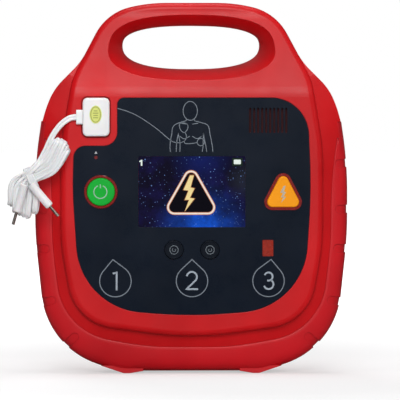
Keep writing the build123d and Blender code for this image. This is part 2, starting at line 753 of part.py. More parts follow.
# ---------------------------------------------------------------- electrode socket, plug and lead
def socket_housing():
    """A block behind the well with two bores for the contacts."""
    size = grown(SOCKET_SIZE, -RUNNING_GAP)
    housing = plate(PLUG_X, PLUG_Z, size, WELL_Y, WELL_Y + SOCKET_DEPTH, 1.0)
    seat = WELL_Y + WELL_WALL
    housing = housing + plate(PLUG_X, PLUG_Z, grown(SOCKET_SIZE, 1.5), seat, seat + 1.5, 1.5)
    for z in prong_heights():
        housing = housing - rod(PLUG_X, z, CONTACT_RADIUS, WELL_Y - 1, WELL_Y + SOCKET_DEPTH + 1)
    return housing


def prong_heights():
    return (PLUG_Z - PRONG_DROP, PLUG_Z + PRONG_DROP)


def socket_contacts():
    """Two sprung tubes with solder tails."""
    parts = []
    for z in prong_heights():
        sleeve = tube(PLUG_X, z, CONTACT_RADIUS, PRONG_RADIUS + RUNNING_GAP, WELL_Y + 0.4, WELL_Y + 9.4)
        base = rod(PLUG_X, z, CONTACT_RADIUS, WELL_Y + 9.4, WELL_Y + SOCKET_DEPTH)
        tail = rod(PLUG_X, z, 0.6, WELL_Y + SOCKET_DEPTH, WELL_Y + SOCKET_DEPTH + TAIL_LENGTH)
        parts.append(sleeve + base + tail)
    return group(parts)


def plug_body():
    front = FACE_Y - PLUG_PROUD
    body = plate(PLUG_X, PLUG_Z, PLUG_SIZE, front, WELL_Y - RUNNING_GAP, PLUG_CORNER)
    body = fillet(outer_front_edges(body, front), 1.2)
    for z in prong_heights():
        body = body - rod(PLUG_X, z, PRONG_RADIUS, WELL_Y - 2.5, WELL_Y + 1)
    return body


def plug_contacts():
    """Two round prongs, moulded into the plug and rounded at the tip."""
    prongs = []
    for z in prong_heights():
        prong = rod(PLUG_X, z, PRONG_RADIUS, WELL_Y - 2.5, WELL_Y + PRONG_LENGTH)
        tip = prong.edges().filter_by(lambda e: abs(e.bounding_box().min.Y - WELL_Y - PRONG_LENGTH) < 0.001)
        prongs.append(fillet(tip, 0.9))
    return group(prongs)


def plug_label():
    y0 = FACE_Y - PLUG_PROUD - 0.25
    return slab(front_plane(y0) * Pos(*LABEL_PLACE) * Ellipse(LABEL_SIZE[0] / 2, LABEL_SIZE[1] / 2), 0.25)


def strain_relief():
    """The short sleeve where the cable leaves the plug's side."""
    length, thick, height = SLEEVE_SIZE
    x1 = PLUG_X - PLUG_SIZE[0] / 2
    y = CABLE_PATH[0][1]
    sleeve = block(x1 - length, x1, y - thick / 2, y + thick / 2, PLUG_Z - height / 2, PLUG_Z + height / 2)
    sleeve = fillet(sleeve.edges().filter_by(Axis.X), 1.2)
    half_thick, half_width = CABLE_SIZE[0] / 2 + 0.1, CABLE_SIZE[1] / 2 + 0.1
    bore_x = CABLE_PATH[0][0] + 0.05
    return sleeve - block(x1 - 2 * length, bore_x, y - half_thick, y + half_thick,
                          PLUG_Z - half_width, PLUG_Z + half_width)


def lead_cable():
    """The flat twin cable from the plug to the tied hank."""
    path = Spline(*CABLE_PATH, tangents=[(-1, 0, 0), (-0.25, -0.1, -1)])
    start = Plane(origin=path @ 0, x_dir=(0, 1, 0), z_dir=path % 0)
    return sweep(start * RectangleRounded(*CABLE_SIZE, 0.9), path=path)


def cable_hank():
    """The coiled lead, drawn in at its tie: a simple closed bundle."""
    top, bottom = Vector(*HANK_TOP), Vector(*HANK_BOTTOM)
    along = bottom - top
    sections = []
    for share, width, thick in HANK_SECTIONS:
        level = Plane(origin=top + along * share, x_dir=(-along.Z, 0, along.X), z_dir=along)
        sections.append(level * Ellipse(width / 2, thick / 2))
    return loft(sections) - lead_cable()


def lead_end_plugs():
    plugs = []
    for x, z, angle in LEAD_ENDS:
        start = end_plane(x, z, angle)
        body = extrude(start * Circle(END_PLUG_RADIUS), amount=-END_PLUG_LENGTH)
        body = chamfer(body.edges(), 0.6)
        plugs.append(body - extrude(start * Circle(PIN_ROOT_RADIUS), amount=-PIN_ROOT_LENGTH))
    return group(plugs)


def end_plane(x, z, angle):
    """The mouth of a lead end, whose normal points the way its pin does."""
    turn = math.radians(angle)
    return Plane(origin=(x, END_PLUG_Y, z), x_dir=BACK, z_dir=(math.cos(turn), 0, math.sin(turn)))


def lead_pins():
    """Two round pins that take the electrode pads' sockets."""
    pins = []
    for x, z, angle in LEAD_ENDS:
        start = end_plane(x, z, angle)
        pin = extrude(start * Circle(PIN_RADIUS), amount=PIN_LENGTH)
        pins.append(pin + extrude(start * Circle(PIN_ROOT_RADIUS), amount=-PIN_ROOT_LENGTH))
    return group(pins)


# ---------------------------------------------------------------- battery
def bay_hole(grow):
    """The battery bay from its floor out through the rear face."""
    y0 = BAY_FLOOR_Y - grow
    return plate(0, BAY_Z, grown(BAY_SIZE, grow), y0, HALF_DEPTH + 1, BAY_CORNER + grow)


def battery_case():
    """An open-backed tray that the cover closes."""
    y0 = BAY_FLOOR_Y + BAY_GAP
    y1 = HALF_DEPTH - COVER_THICK
    size = grown(BAY_SIZE, -BAY_GAP)
    case = plate(0, BAY_Z, size, y0, y1, BAY_CORNER)
    case = case - plate(0, BAY_Z, grown(size, -CASE_WALL), y0 + CASE_WALL, y1 + 1, BAY_CORNER - CASE_WALL)
    for x in (-TERMINAL_X, TERMINAL_X):
        case = case - plate(x, TERMINAL_Z, (8.0, 12.0), y0 - 1, y0 + CASE_WALL + 1, 1.0)
    return case


def battery_cover():
    """The cover, flush with the rear face, with a pocket and slot for the latch."""
    y1 = HALF_DEPTH
    y0 = y1 - COVER_THICK
    size = grown(BAY_SIZE, -BAY_GAP)
    cover = plate(0, BAY_Z, size, y0, y1, BAY_CORNER)
    drop = LATCH_TRAVEL + SPRING_SHUT
    pocket = (LATCH_SIZE[0] + 0.6, LATCH_SIZE[1] + drop + 0.6)
    cover = cover - plate(0, LATCH_Z - drop / 2, pocket, y0 - 1, y1 + 1, 1.0)
    half_slot = LATCH_TONGUE[0] / 2 + 0.3
    top = BAY_Z + size[1] / 2
    return cover - block(-half_slot, half_slot, y0 - 1, y0 + LATCH_THICK + 0.2, LATCH_Z, top + 1)


def battery_latch():
    """A thumb slide whose tongue stands above the cover's top edge."""
    y0 = HALF_DEPTH - COVER_THICK + 0.1
    top = BAY_Z + BAY_SIZE[1] / 2 - BAY_GAP
    thumb = plate(0, LATCH_Z, LATCH_SIZE, y0, HALF_DEPTH - 0.1, 1.0)
    pitch = LATCH_SIZE[1] / (LATCH_RIBS + 1)
    for i in range(LATCH_RIBS):
        z = LATCH_Z + pitch * (i - (LATCH_RIBS - 1) / 2)
        thumb = thumb - block(-9, 9, HALF_DEPTH - 0.5, HALF_DEPTH, z - 0.5, z + 0.5)
    half = LATCH_TONGUE[0] / 2
    return thumb + block(-half, half, y0, y0 + LATCH_THICK - 0.1, LATCH_Z, top + LATCH_TONGUE[1])


def latch_keeper():
    """The notch above the bay that the tongue reaches into, open to the rear."""
    half = LATCH_TONGUE[0] / 2 + 1
    top = BAY_Z + BAY_SIZE[1] / 2
    reach = LATCH_TONGUE[1] + 0.6
    return block(-half, half, HALF_DEPTH - COVER_THICK - 0.5, HALF_DEPTH + 1, top - 1, top + reach)


def latch_spring():
    """A flat wire spring under the thumb slide."""
    height = LATCH_TRAVEL + SPRING_SHUT
    low = LATCH_Z - LATCH_SIZE[1] / 2 - height
    y = HALF_DEPTH - COVER_THICK / 2
    rise = (height - SPRING_WIRE - 0.1) / SPRING_BENDS
    ends = (-SPRING_HALF_WIDTH, SPRING_HALF_WIDTH)
    points = [(ends[i % 2], y, low + SPRING_WIRE / 2 + rise * i) for i in range(SPRING_BENDS + 1)]
    path = FilletPolyline(*points, radius=0.3)
    return sweep(Plane(origin=points[0], z_dir=path % 0) * Circle(SPRING_WIRE / 2), path=path)


def battery_cells():
    """Ten cylindrical cells in two rows, standing upright."""
    y = BAY_FLOOR_Y + BAY_GAP + CASE_WALL + CELL_RADIUS + 0.3
    cells = []
    for row in (-1, 1):
        base = BAY_Z + row * (CELL_LENGTH / 2 + 1.0)
        for i in range(CELL_COLUMNS):
            x = (i - (CELL_COLUMNS - 1) / 2) * CELL_PITCH
            can = Pos(x, y, base) * Cylinder(CELL_RADIUS, CELL_LENGTH - 1.5)
            can = fillet(can.edges(), 0.6)
            cells.append(can + Pos(x, y, base + CELL_LENGTH / 2 - 0.5) * Cylinder(3.0, 1.0))
    return group(cells)


def battery_contacts():
    """Two plated pads let into the front of the case."""
    y0 = BAY_FLOOR_Y + BAY_GAP + 0.4
    return group([plate(x, TERMINAL_Z, (8.0, 12.0), y0, y0 + 1.2, 1.0) for x in (-TERMINAL_X, TERMINAL_X)])


def battery_terminals():
    """Two spring pins through the bay floor, reaching the pads."""
    y1 = BAY_FLOOR_Y + BAY_GAP + 0.35
    pins = []
    for x in (-TERMINAL_X, TERMINAL_X):
        pin = rod(x, TERMINAL_Z, 1.2, BOARD_BACK_Y, y1)
        pins.append(pin + rod(x, TERMINAL_Z, 2.4, BOARD_BACK_Y, BAY_FLOOR_Y - BAY_WALL - 1))
    return group(pins)


def bay_seal():
    """A flat ring on the bay floor."""
    outer = plate(0, BAY_Z, grown(BAY_SIZE, -2.0), BAY_FLOOR_Y, BAY_FLOOR_Y + BAY_GAP, 4.0)
    return outer - plate(0, BAY_Z, grown(BAY_SIZE, -5.0), BAY_FLOOR_Y - 1, BAY_FLOOR_Y + 1, 2.0)


# ---------------------------------------------------------------- housing shells and their fixings
def screw_set():
    """Housing screws from behind, one in each boss."""
    screws = []
    for x, z in mirrored(SCREW_PLACES):
        seat = screw_seat(z)
        head = rod(x, z, SCREW_HEAD[0], seat, seat + SCREW_HEAD[1])
        head = head - rod(x, z, 1.3, seat + 1, seat + 5)
        screws.append(head + rod(x, z, SCREW_RADIUS, -INSERT_LENGTH + 0.5, seat))
    return group(screws)


def screw_seat(z):
    """The handle's screws sit nearer the parting plane than the others."""
    return SCREW_SEAT_Y if z < PANEL_TOP_Z else HANDLE_SEAT_Y


def brass_inserts():
    inserts = []
    for x, z in mirrored(SCREW_PLACES):
        inserts.append(tube(x, z, INSERT_RADIUS, SCREW_RADIUS, -INSERT_LENGTH, 0))
    return group(inserts)


def socket_wall():
    """Thicker shell behind the plug's well."""
    size = grown(WELL_SIZE, 1.6)
    return plate(PLUG_X, PLUG_Z, size, FACE_Y + 1, WELL_Y + WELL_WALL, 4.0)


def front_shell():
    shell = half_shell()
    shell = shell + (socket_wall() & plateau_form(0, 0))
    for x, z in mirrored(FRONT_POSTS):
        shell = shell + rod(x, z, POST_RADIUS, INNER_Y - 0.5, FRONT_BOARD_Y)
        shell = shell - rod(x, z, POST_SCREW[0], INNER_Y + 1, 0)
    shell = shell - slab(face_at(PANEL, FACE_Y - 1, PANEL_GAP), PANEL_RECESS + 1)
    shell = shell - plate(PLUG_X, PLUG_Z, WELL_SIZE, FACE_Y - 1, WELL_Y, 4.0)
    shell = shell - plate(PLUG_X, PLUG_Z, SOCKET_SIZE, WELL_Y - 1, WELL_Y + WELL_WALL + 1, 1.0)
    shell = shell - plate(0, CONTROL_Z, grown(DISPLAY_SIZE, -DISPLAY_LIP), FACE_Y, INNER_Y + 1, 0.8)
    shell = shell - plate(*IR_CENTRE, grown(IR_SIZE, RUNNING_GAP), FACE_Y, INNER_Y + 0.01, 0.6)
    shell = shell - rod(*LED_CENTRE, LENS_RADIUS + RUNNING_GAP, FACE_Y, INNER_Y + 1)
    for cutter in cap_holes() + key_holes() + grille_slots(FACE_Y, INNER_Y + 1):
        shell = shell - cutter
    for x, z in mirrored(SCREW_PLACES):
        shell = shell - rod(x, z, INSERT_RADIUS, -INSERT_LENGTH, 1)
    return shell


def rear_shell():
    """The rear shell with its battery bay and the posts that carry the main board."""
    outside = to_back(shell_outside() - opening_form(0))
    shell = to_back(half_shell())
    reach = outside + block(-100, 100, -30, 0, 30, 190)
    for x, z in mirrored(MAIN_POSTS):
        shell = shell + (rod(x, z, POST_RADIUS, BOARD_BACK_Y, HALF_DEPTH) & reach)
        shell = shell - rod(x, z, POST_SCREW[0], MAIN_BOARD_Y, 0)
    shell = shell + (bay_hole(BAY_WALL) & outside)
    shell = shell - bay_hole(0) - latch_keeper()
    for x in (-TERMINAL_X, TERMINAL_X):
        shell = shell - rod(x, TERMINAL_Z, 1.4, 0, BAY_FLOOR_Y + 1)
    for x, z in mirrored(SCREW_PLACES):
        seat = screw_seat(z)
        shell = shell - rod(x, z, SCREW_HEAD[0] + 0.4, seat, HALF_DEPTH + 1)
        shell = shell - rod(x, z, SCREW_RADIUS + 0.2, -1, seat)
    for x, z in mirrored(PAD_PLACES):
        shell = shell - rod(x, z, PAD_RADIUS, HALF_DEPTH - PAD_SINK, HALF_DEPTH + 1)
    return shell - plate(0, PLATE_Z, PLATE_SIZE, HALF_DEPTH - PLATE_THICK, HALF_DEPTH + 1, 2.0)


def rear_pads():
    """Four soft pads that the unit rests on when it lies on its back."""
    pads = []
    for x, z in mirrored(PAD_PLACES):
        pad = rod(x, z, PAD_RADIUS, HALF_DEPTH - PAD_SINK, HALF_DEPTH + PAD_PROUD)
        far = pad.edges().filter_by(lambda e: abs(e.bounding_box().min.Y - HALF_DEPTH - PAD_PROUD) < 0.001)
        pads.append(fillet(far, 0.6))
    return group(pads)


def rating_plate():
    return plate(0, PLATE_Z, grown(PLATE_SIZE, -0.1), HALF_DEPTH - PLATE_THICK, HALF_DEPTH, 1.9)


# ---------------------------------------------------------------- electronics
def circuit_board(extent, y, corner, posts):
    """A board over x0, x1, z0, z1 with a screw hole at each post."""
    x0, x1, z0, z1 = extent
    board = plate((x0 + x1) / 2, (z0 + z1) / 2, (x1 - x0, z1 - z0), y, y + BOARD_THICK, corner)
    for x, z in mirrored(posts):
        board = board - rod(x, z, POST_SCREW[0] + 0.2, y - 1, y + 3)
    return board


def front_board():
    return circuit_board(FRONT_BOARD, FRONT_BOARD_Y, 4.0, FRONT_POSTS)


def tact_switches():
    """One small push switch behind each button and key."""
    size = (SWITCH_SIZE, SWITCH_SIZE)
    places = [(-CONTROL_X, CONTROL_Z), (CONTROL_X, CONTROL_Z), (-KEY_X, KEY_Z), (KEY_X, KEY_Z)]
    top = FRONT_BOARD_Y - SWITCH_HEIGHT
    switches = []
    for x, z in places:
        body = plate(x, z, size, top + 0.7, FRONT_BOARD_Y, 0.5)
        switches.append(body + rod(x, z, 1.4, top, top + 1))
    return group(switches)


def board_leds():
    """Light sources for the status lens and behind the infrared window."""
    tip = FRONT_BOARD_Y - LED_SIZE[1]
    leds = []
    for x, z in (LED_CENTRE, IR_CENTRE):
        body = rod(x, z, LED_SIZE[0], tip, FRONT_BOARD_Y)
        leds.append(body + Pos(x, tip, z) * Sphere(LED_SIZE[0]))
    return group(leds)


def main_board():
    return circuit_board(MAIN_BOARD, MAIN_BOARD_Y, 6.0, MAIN_POSTS)


def board_screws():
    """Screws that hold both boards to their posts."""
    radius, length, head_radius, head = POST_SCREW
    screws = []
    for x, z in mirrored(MAIN_POSTS):
        shank = rod(x, z, radius - RUNNING_GAP, MAIN_BOARD_Y, MAIN_BOARD_Y + BOARD_THICK + length)
        screws.append(shank + rod(x, z, head_radius, MAIN_BOARD_Y - head, MAIN_BOARD_Y))
    for x, z in mirrored(FRONT_POSTS):
        back = FRONT_BOARD_Y + BOARD_THICK
        shank = rod(x, z, radius - RUNNING_GAP, back - length + 0.8, back)
        screws.append(shank + rod(x, z, head_radius, back, back + head))
    return group(screws)


def board_components():
    """The controller and the other chips, on the front of the main board."""
    chips = [(-20.0, 96.0, 22.0, 22.0, 1.6), (14.0, 98.0, 14.0, 14.0, 1.6), (38.0, 92.0, 12.0, 18.0, 2.4)]
    chips += [(-20.0, 66.0, 18.0, 8.0, 3.2), (12.0, 64.0, 10.0, 6.0, 2.0), (-50.0, 92.0, 12.0, 8.0, 3.0)]
    return group([plate(x, z, (w, h), MAIN_BOARD_Y - t, MAIN_BOARD_Y) for x, z, w, h, t in chips])


def board_ribbon():
    """The flat cable between the two boards."""
    y0, y1 = FRONT_BOARD_Y + BOARD_THICK, MAIN_BOARD_Y
    half = RIBBON_SIZE[0] / 2
    return block(-half, half, y0, y1, RIBBON_Z, RIBBON_Z + RIBBON_SIZE[1])


def lying_drum(x, y, z, radius, length):
    """A drum whose axis is along X."""
    return Pos(x, y, z) * Rot(0, 90, 0) * Cylinder(radius, length)


def hv_capacitor():
    x, y, z = CAPACITOR_PLACE
    body = fillet(lying_drum(x, y, z, CAPACITOR_RADIUS, CAPACITOR_LENGTH).edges(), 1.5)
    stud_x = x - CAPACITOR_LENGTH / 2 - 2.5
    studs = [lying_drum(stud_x, y, z + dz, 2.0, 5.0) for dz in (-7, 7)]
    return body + studs[0] + studs[1]


def capacitor_clamp():
    """A band round the capacitor with feet on the main board."""
    x, y, z = CAPACITOR_PLACE
    outer = lying_drum(x, y, z, CAPACITOR_RADIUS + 1.2, 14.0)
    foot = block(x - 7, x + 7, BOARD_BACK_Y, BOARD_BACK_Y + 1.5, z - 22, z + 22)
    web = block(x - 7, x + 7, BOARD_BACK_Y, y, z - CAPACITOR_RADIUS - 1.2, z + CAPACITOR_RADIUS + 1.2)
    inner = lying_drum(x, y, z, CAPACITOR_RADIUS + 0.02, 20.0)
    return outer + foot + web - inner


def transformer_core():
    """A shell-type ferrite core for the charging transformer."""
    x, z = TRANSFORMER
    core = block(x - 9, x + 9, BOARD_BACK_Y + 3, BOARD_BACK_Y + 27, z - 15, z + 15)
    for z0 in (z - 10, z + 4):
        core = core - block(x - 10, x + 10, BOARD_BACK_Y + 7, BOARD_BACK_Y + 23, z0, z0 + 6)
    return core


def transformer_winding():
    x, z = TRANSFORMER
    outer = block(x - 11.5, x + 11.5, BOARD_BACK_Y + 7.2, BOARD_BACK_Y + 22.8, z - 9.8, z + 9.8)
    outer = fillet(outer.edges().filter_by(Axis.Y), 2.5)
    middle = block(x - 9.1, x + 9.1, BOARD_BACK_Y, BOARD_BACK_Y + 30, z - 4.1, z + 4.1)
    return outer - middle


def pulse_inductor():
    """The air-cored coil in the pulse path, on its former."""
    x, z = INDUCTOR
    y0 = BOARD_BACK_Y
    coil = tube(x, z, 11.5, 5.5, y0 + 1.6, y0 + 20)
    flanges = tube(x, z, 12.5, 5.0, y0, y0 + 1.6) + tube(x, z, 12.5, 5.0, y0 + 20, y0 + 21.6)
    return coil + flanges


def output_relay():
    x, z = RELAY
    relay = block(x - 14, x + 14, BOARD_BACK_Y, BOARD_BACK_Y + 12, z - 6.5, z + 6.5)
    return fillet(relay.edges().filter_by(Axis.Y), 1.0)


def igbt_heatsink():
    """A finned bar that carries the four switching devices."""
    x, z = HEATSINK
    x0, x1 = x - HEATSINK_SIZE[0] / 2, x + HEATSINK_SIZE[0] / 2
    y0 = BOARD_BACK_Y + MODULE_HEIGHT
    sink = block(x0, x1, y0, y0 + 3, z - HEATSINK_SIZE[1] / 2, z + HEATSINK_SIZE[1] / 2)
    pitch = (HEATSINK_SIZE[1] - 1) / (HEATSINK_FINS - 1)
    for i in range(HEATSINK_FINS):
        fin = z + pitch * (i - (HEATSINK_FINS - 1) / 2)
        sink = sink + block(x0, x1, y0 + 2.8, y0 + 8.3, fin - 0.5, fin + 0.5)
    return sink


def igbt_modules():
    """Four switching devices in a row under the heatsink."""
    x, z = HEATSINK
    modules = []
    top = BOARD_BACK_Y + MODULE_HEIGHT
    for i in range(4):
        middle = x + MODULE_STEP * (i - 1.5)
        modules.append(block(middle - 5, middle + 5, BOARD_BACK_Y, top, z - 7, z + 7))
    return group(modules)


def hv_leads():
    """Two insulated wires from the main board up to the socket's tails."""
    tail_y = WELL_Y + SOCKET_DEPTH + TAIL_LENGTH
    gap = block(-80, -50, tail_y, MAIN_BOARD_Y, 140, 190)
    wires = []
    for z, board_x in zip(prong_heights(), (-56.0, -70.0)):
        path = Line((PLUG_X, tail_y, z), (board_x, MAIN_BOARD_Y, z - 6))
        wires.append(sweep(Plane(origin=path @ 0, z_dir=path % 0) * Circle(WIRE_RADIUS), path=path) & gap)
    return group(wires)


NODES = {
    "front_shell": front_shell,
    "rear_shell": rear_shell,
    "rim_bumper": rim_bumper,
    "housing_gasket": housing_gasket,
    "housing_screws": screw_set,
    "brass_inserts": brass_inserts,
    "rear_pads": rear_pads,
    "rating_plate": rating_plate,
    "panel_overlay": panel_overlay,
    "display_window": display_window,
    "display_module": display_module,
    "display_frame": display_frame,
    "power_button": power_button,
    "power_ring": power_ring,
    "power_dome": lambda: button_dome(-CONTROL_X),
    "shock_button": shock_button,
    "shock_ring": shock_ring,
    "shock_dome": lambda: button_dome(CONTROL_X),
    "left_key": lambda: key_cap(-KEY_X),
    "right_key": lambda: key_cap(KEY_X),
    "infrared_window": ir_window,
    "status_lens": status_lens,
    "grille_cloth": grille_cloth,
    "speaker_frame": speaker_frame,
    "speaker_cone": speaker_cone,
    "speaker_magnet": speaker_magnet,
    "front_board": front_board,
    "tact_switches": tact_switches,
    "board_leds": board_leds,
    "board_ribbon": board_ribbon,
    "main_board": main_board,
    "board_components": board_components,
    "board_screws": board_screws,
    "hv_capacitor": hv_capacitor,
    "capacitor_clamp": capacitor_clamp,
    "transformer_core": transformer_core,
    "transformer_winding": transformer_winding,
    "pulse_inductor": pulse_inductor,
    "output_relay": output_relay,
    "igbt_heatsink": igbt_heatsink,
    "igbt_modules": igbt_modules,
    "hv_leads": hv_leads,
    "socket_housing": socket_housing,
    "socket_contacts": socket_contacts,
    "battery_terminals": battery_terminals,
    "bay_seal": bay_seal,
    "battery_case": battery_case,
    "battery_cover": battery_cover,
    "battery_cells": battery_cells,
    "battery_contacts": battery_contacts,
    "latch_spring": latch_spring,
    "battery_latch": battery_latch,
    "plug_body": plug_body,
    "plug_contacts": plug_contacts,
    "plug_label": plug_label,
    "strain_relief": strain_relief,
    "lead_cable": lead_cable,
    "cable_hank": cable_hank,
    "lead_end_plugs": lead_end_plugs,
    "lead_pins": lead_pins,
}


def main():
    os.makedirs("parts", exist_ok=True)
    for name, make in NODES.items():
        export_step(make(), f"parts/{name}.step")


if __name__ == "__main__":
    main()
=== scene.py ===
import json
import math

import bpy
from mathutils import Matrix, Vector


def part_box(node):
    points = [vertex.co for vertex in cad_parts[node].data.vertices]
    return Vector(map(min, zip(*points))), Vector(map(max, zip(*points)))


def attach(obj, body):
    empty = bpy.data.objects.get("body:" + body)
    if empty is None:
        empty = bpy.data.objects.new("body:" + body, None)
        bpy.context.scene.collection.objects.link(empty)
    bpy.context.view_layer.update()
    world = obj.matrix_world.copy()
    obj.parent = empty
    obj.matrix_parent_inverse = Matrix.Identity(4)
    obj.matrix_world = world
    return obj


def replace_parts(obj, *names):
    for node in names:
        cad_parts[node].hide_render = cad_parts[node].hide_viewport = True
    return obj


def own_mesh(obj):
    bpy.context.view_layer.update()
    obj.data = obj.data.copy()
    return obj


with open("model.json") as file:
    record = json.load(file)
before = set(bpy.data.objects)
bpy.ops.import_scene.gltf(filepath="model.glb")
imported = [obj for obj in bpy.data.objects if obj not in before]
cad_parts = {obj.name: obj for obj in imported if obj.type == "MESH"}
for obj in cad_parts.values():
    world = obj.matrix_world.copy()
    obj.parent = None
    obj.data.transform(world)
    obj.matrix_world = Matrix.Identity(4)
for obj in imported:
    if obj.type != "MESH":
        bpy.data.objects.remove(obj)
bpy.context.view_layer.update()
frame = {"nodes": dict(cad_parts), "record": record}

# Looks for the portable defibrillator. Drawing dimensions are in millimetres unless a name
# or comment says metres. Places come from the CAD nodes' boxes wherever a node gives them.

MM = 0.001                   # one millimetre in metres
NOISE_SPAN = (0.3, 0.7)      # the values that a noise texture mostly takes


def mm(*values):
    """A point given in millimetres, in metres."""
    return Vector(values) * MM


# ---------------------------------------------------------------- node helpers
class Finish:
    """One procedural material, with short calls for the nodes that the finishes share.

    Textures follow the object's own coordinates in metres, so scales are counted per metre.
    """

    def __init__(self, name):
        self.material = bpy.data.materials.new(name)
        self.material.use_nodes = True
        self.tree = self.material.node_tree
        self.surface = self.tree.nodes["Principled BSDF"]
        self.where = self.tree.nodes.new("ShaderNodeTexCoord").outputs["Object"]

    def link(self, source, target):
        self.tree.links.new(source, target)

    def set(self, **values):
        for key, value in values.items():
            self.surface.inputs[key.replace("_", " ")].default_value = value

    def noise(self, scale, detail=2.0, rough=0.5, where=None):
        """Noise with about scale features per metre."""
        node = self.tree.nodes.new("ShaderNodeTexNoise")
        node.inputs["Scale"].default_value = scale
        node.inputs["Detail"].default_value = detail
        node.inputs["Roughness"].default_value = rough
        self.link(where or self.where, node.inputs["Vector"])
        return node.outputs["Fac"]

    def speckle(self, scale, to_low, to_high, detail=2.0):
        """Noise stretched to run mostly from to_low to to_high."""
        return self.remap(self.noise(scale, detail), *NOISE_SPAN, to_low, to_high)

    def remap(self, source, low, high, to_low, to_high):
        node = self.tree.nodes.new("ShaderNodeMapRange")
        for key, value in zip(("From Min", "From Max", "To Min", "To Max"), (low, high, to_low, to_high)):
            node.inputs[key].default_value = value
        self.link(source, node.inputs["Value"])
        return node.outputs["Result"]

    def feed(self, node_input, value):
        """Link a socket to an input, or store a number in it."""
        if isinstance(value, bpy.types.NodeSocket):
            self.link(value, node_input)
        else:
            node_input.default_value = value

    def mix(self, share, first, second):
        """Colour mix; share is a socket, and each colour is a tuple or a socket."""
        node = self.tree.nodes.new("ShaderNodeMix")
        node.data_type = "RGBA"
        self.feed(node.inputs[0], share)
        for index, color in ((6, first), (7, second)):
            is_socket = isinstance(color, bpy.types.NodeSocket)
            self.feed(node.inputs[index], color if is_socket else (*color, 1.0))
        return node.outputs[2]

    def math(self, kind, first, second):
        node = self.tree.nodes.new("ShaderNodeMath")
        node.operation = kind
        self.feed(node.inputs[0], first)
        self.feed(node.inputs[1], second)
        return node.outputs[0]

    def product(self, first, second):
        return self.math("MULTIPLY", first, second)

    def distance(self, point):
        """How far the shaded point is from a point in metres."""
        node = self.tree.nodes.new("ShaderNodeVectorMath")
        node.operation = "DISTANCE"
        self.link(self.where, node.inputs[0])
        node.inputs[1].default_value = point
        return node.outputs["Value"]

    def soft_edges(self, radius):
        """The normal with edges rounded by radius, and a mask that is 1 on them."""
        bevel = self.tree.nodes.new("ShaderNodeBevel")
        bevel.samples = 4
        bevel.inputs["Radius"].default_value = radius
        geometry = self.tree.nodes.new("ShaderNodeNewGeometry")
        dot = self.tree.nodes.new("ShaderNodeVectorMath")
        dot.operation = "DOT_PRODUCT"
        self.link(bevel.outputs["Normal"], dot.inputs[0])
        self.link(geometry.outputs["Normal"], dot.inputs[1])
        return bevel.outputs["Normal"], self.remap(dot.outputs["Value"], 0.995, 0.8, 0.0, 1.0)

    def bump(self, height, strength, depth, normal=None):
        node = self.tree.nodes.new("ShaderNodeBump")
        node.inputs["Strength"].default_value = strength
        node.inputs["Distance"].default_value = depth
        self.link(height, node.inputs["Height"])
        if normal is not None:
            self.link(normal, node.inputs["Normal"])
        self.link(node.outputs["Normal"], self.surface.inputs["Normal"])

    def color(self, source):
        self.link(source, self.surface.inputs["Base Color"])

    def rough(self, source):
        self.link(source, self.surface.inputs["Roughness"])

    def glow(self, source, strength):
        """Give off the source's colour."""
        self.link(source, self.surface.inputs["Emission Color"])
        self.set(Emission_Strength=strength)


def scaled(color, factor, lift=0.0):
    """A colour times a factor plus a lift, kept at 1 or below."""
    return tuple(min(1.0, c * factor + lift) for c in color)


GRAIN_DEPTH = 0.00006        # of the grain of moulded plastic, metres


def moulded(name, color, roughness=0.4, grain=1500.0, bump=0.12, edge=0.0006, wear_and_highlight=0.25, wear_and_highlight_lift=0.03, **values):
    """Moulded plastic: fine grain, slow colour drift, edges rounded by edge metres and made paler, partly as
    wear and partly as a painted highlight along them.
    """
    finish = Finish(name)
    drift = finish.mix(finish.speckle(22.0, 0.0, 1.0), scaled(color, 0.88), scaled(color, 1.12, 0.001))
    normal, mask = finish.soft_edges(edge)
    scuffs = finish.remap(finish.noise(160.0, 4.0), 0.35, 0.7, 0.3, 1.0)
    # Paler edges: partly wear, partly a painted highlight along every edge.
    worn_and_highlit = finish.product(finish.product(mask, wear_and_highlight), scuffs)
    finish.color(finish.mix(worn_and_highlit, drift, scaled(color, 1.25, wear_and_highlight_lift)))
    grains = finish.noise(grain, 3.0, 0.6)
    smears = finish.speckle(60.0, -0.04, 0.05, 4.0)
    uneven = finish.remap(grains, *NOISE_SPAN, roughness - 0.04, roughness + 0.04)
    finish.rough(finish.math("ADD", smears, uneven))
    finish.bump(grains, bump, GRAIN_DEPTH, normal)
    finish.set(**values)
    return finish.material


def metal(name, color, roughness=0.3, stretch=(1.0, 1.0, 40.0)):
    """Drawn or plated metal with fine lines along one axis."""
    finish = Finish(name)
    mapping = finish.tree.nodes.new("ShaderNodeMapping")
    mapping.inputs["Scale"].default_value = stretch
    finish.link(finish.where, mapping.inputs["Vector"])
    lines = finish.noise(300.0, 4.0, 0.6, mapping.outputs["Vector"])
    tarnish = finish.remap(finish.noise(220.0, 3.0), 0.35, 0.75, 0.0, 1.0)
    finish.color(finish.mix(tarnish, color, scaled(color, 0.72)))
    finish.rough(finish.remap(lines, *NOISE_SPAN, roughness - 0.08, roughness + 0.12))
    finish.bump(lines, 0.15, 0.00004)
    finish.set(Metallic=1.0)
    return finish.material


def woven(name, thread, gap, pitch):
    """Plain-woven cloth from two crossed waves; pitch is the threads' spacing in metres."""
    finish = Finish(name)
    waves = []
    for direction in ("X", "Z"):
        wave = finish.tree.nodes.new("ShaderNodeTexWave")
        wave.bands_direction = direction
        wave.inputs["Scale"].default_value = 0.31 / pitch
        wave.inputs["Distortion"].default_value = 0.6
        finish.link(finish.where, wave.inputs["Vector"])
        waves.append(wave.outputs["Fac"])
    weave = finish.product(*waves)
    finish.color(finish.mix(weave, gap, thread))
    finish.bump(weave, 0.5, 0.0002)
    finish.set(Roughness=0.85, Sheen_Weight=0.3)
    return finish.material


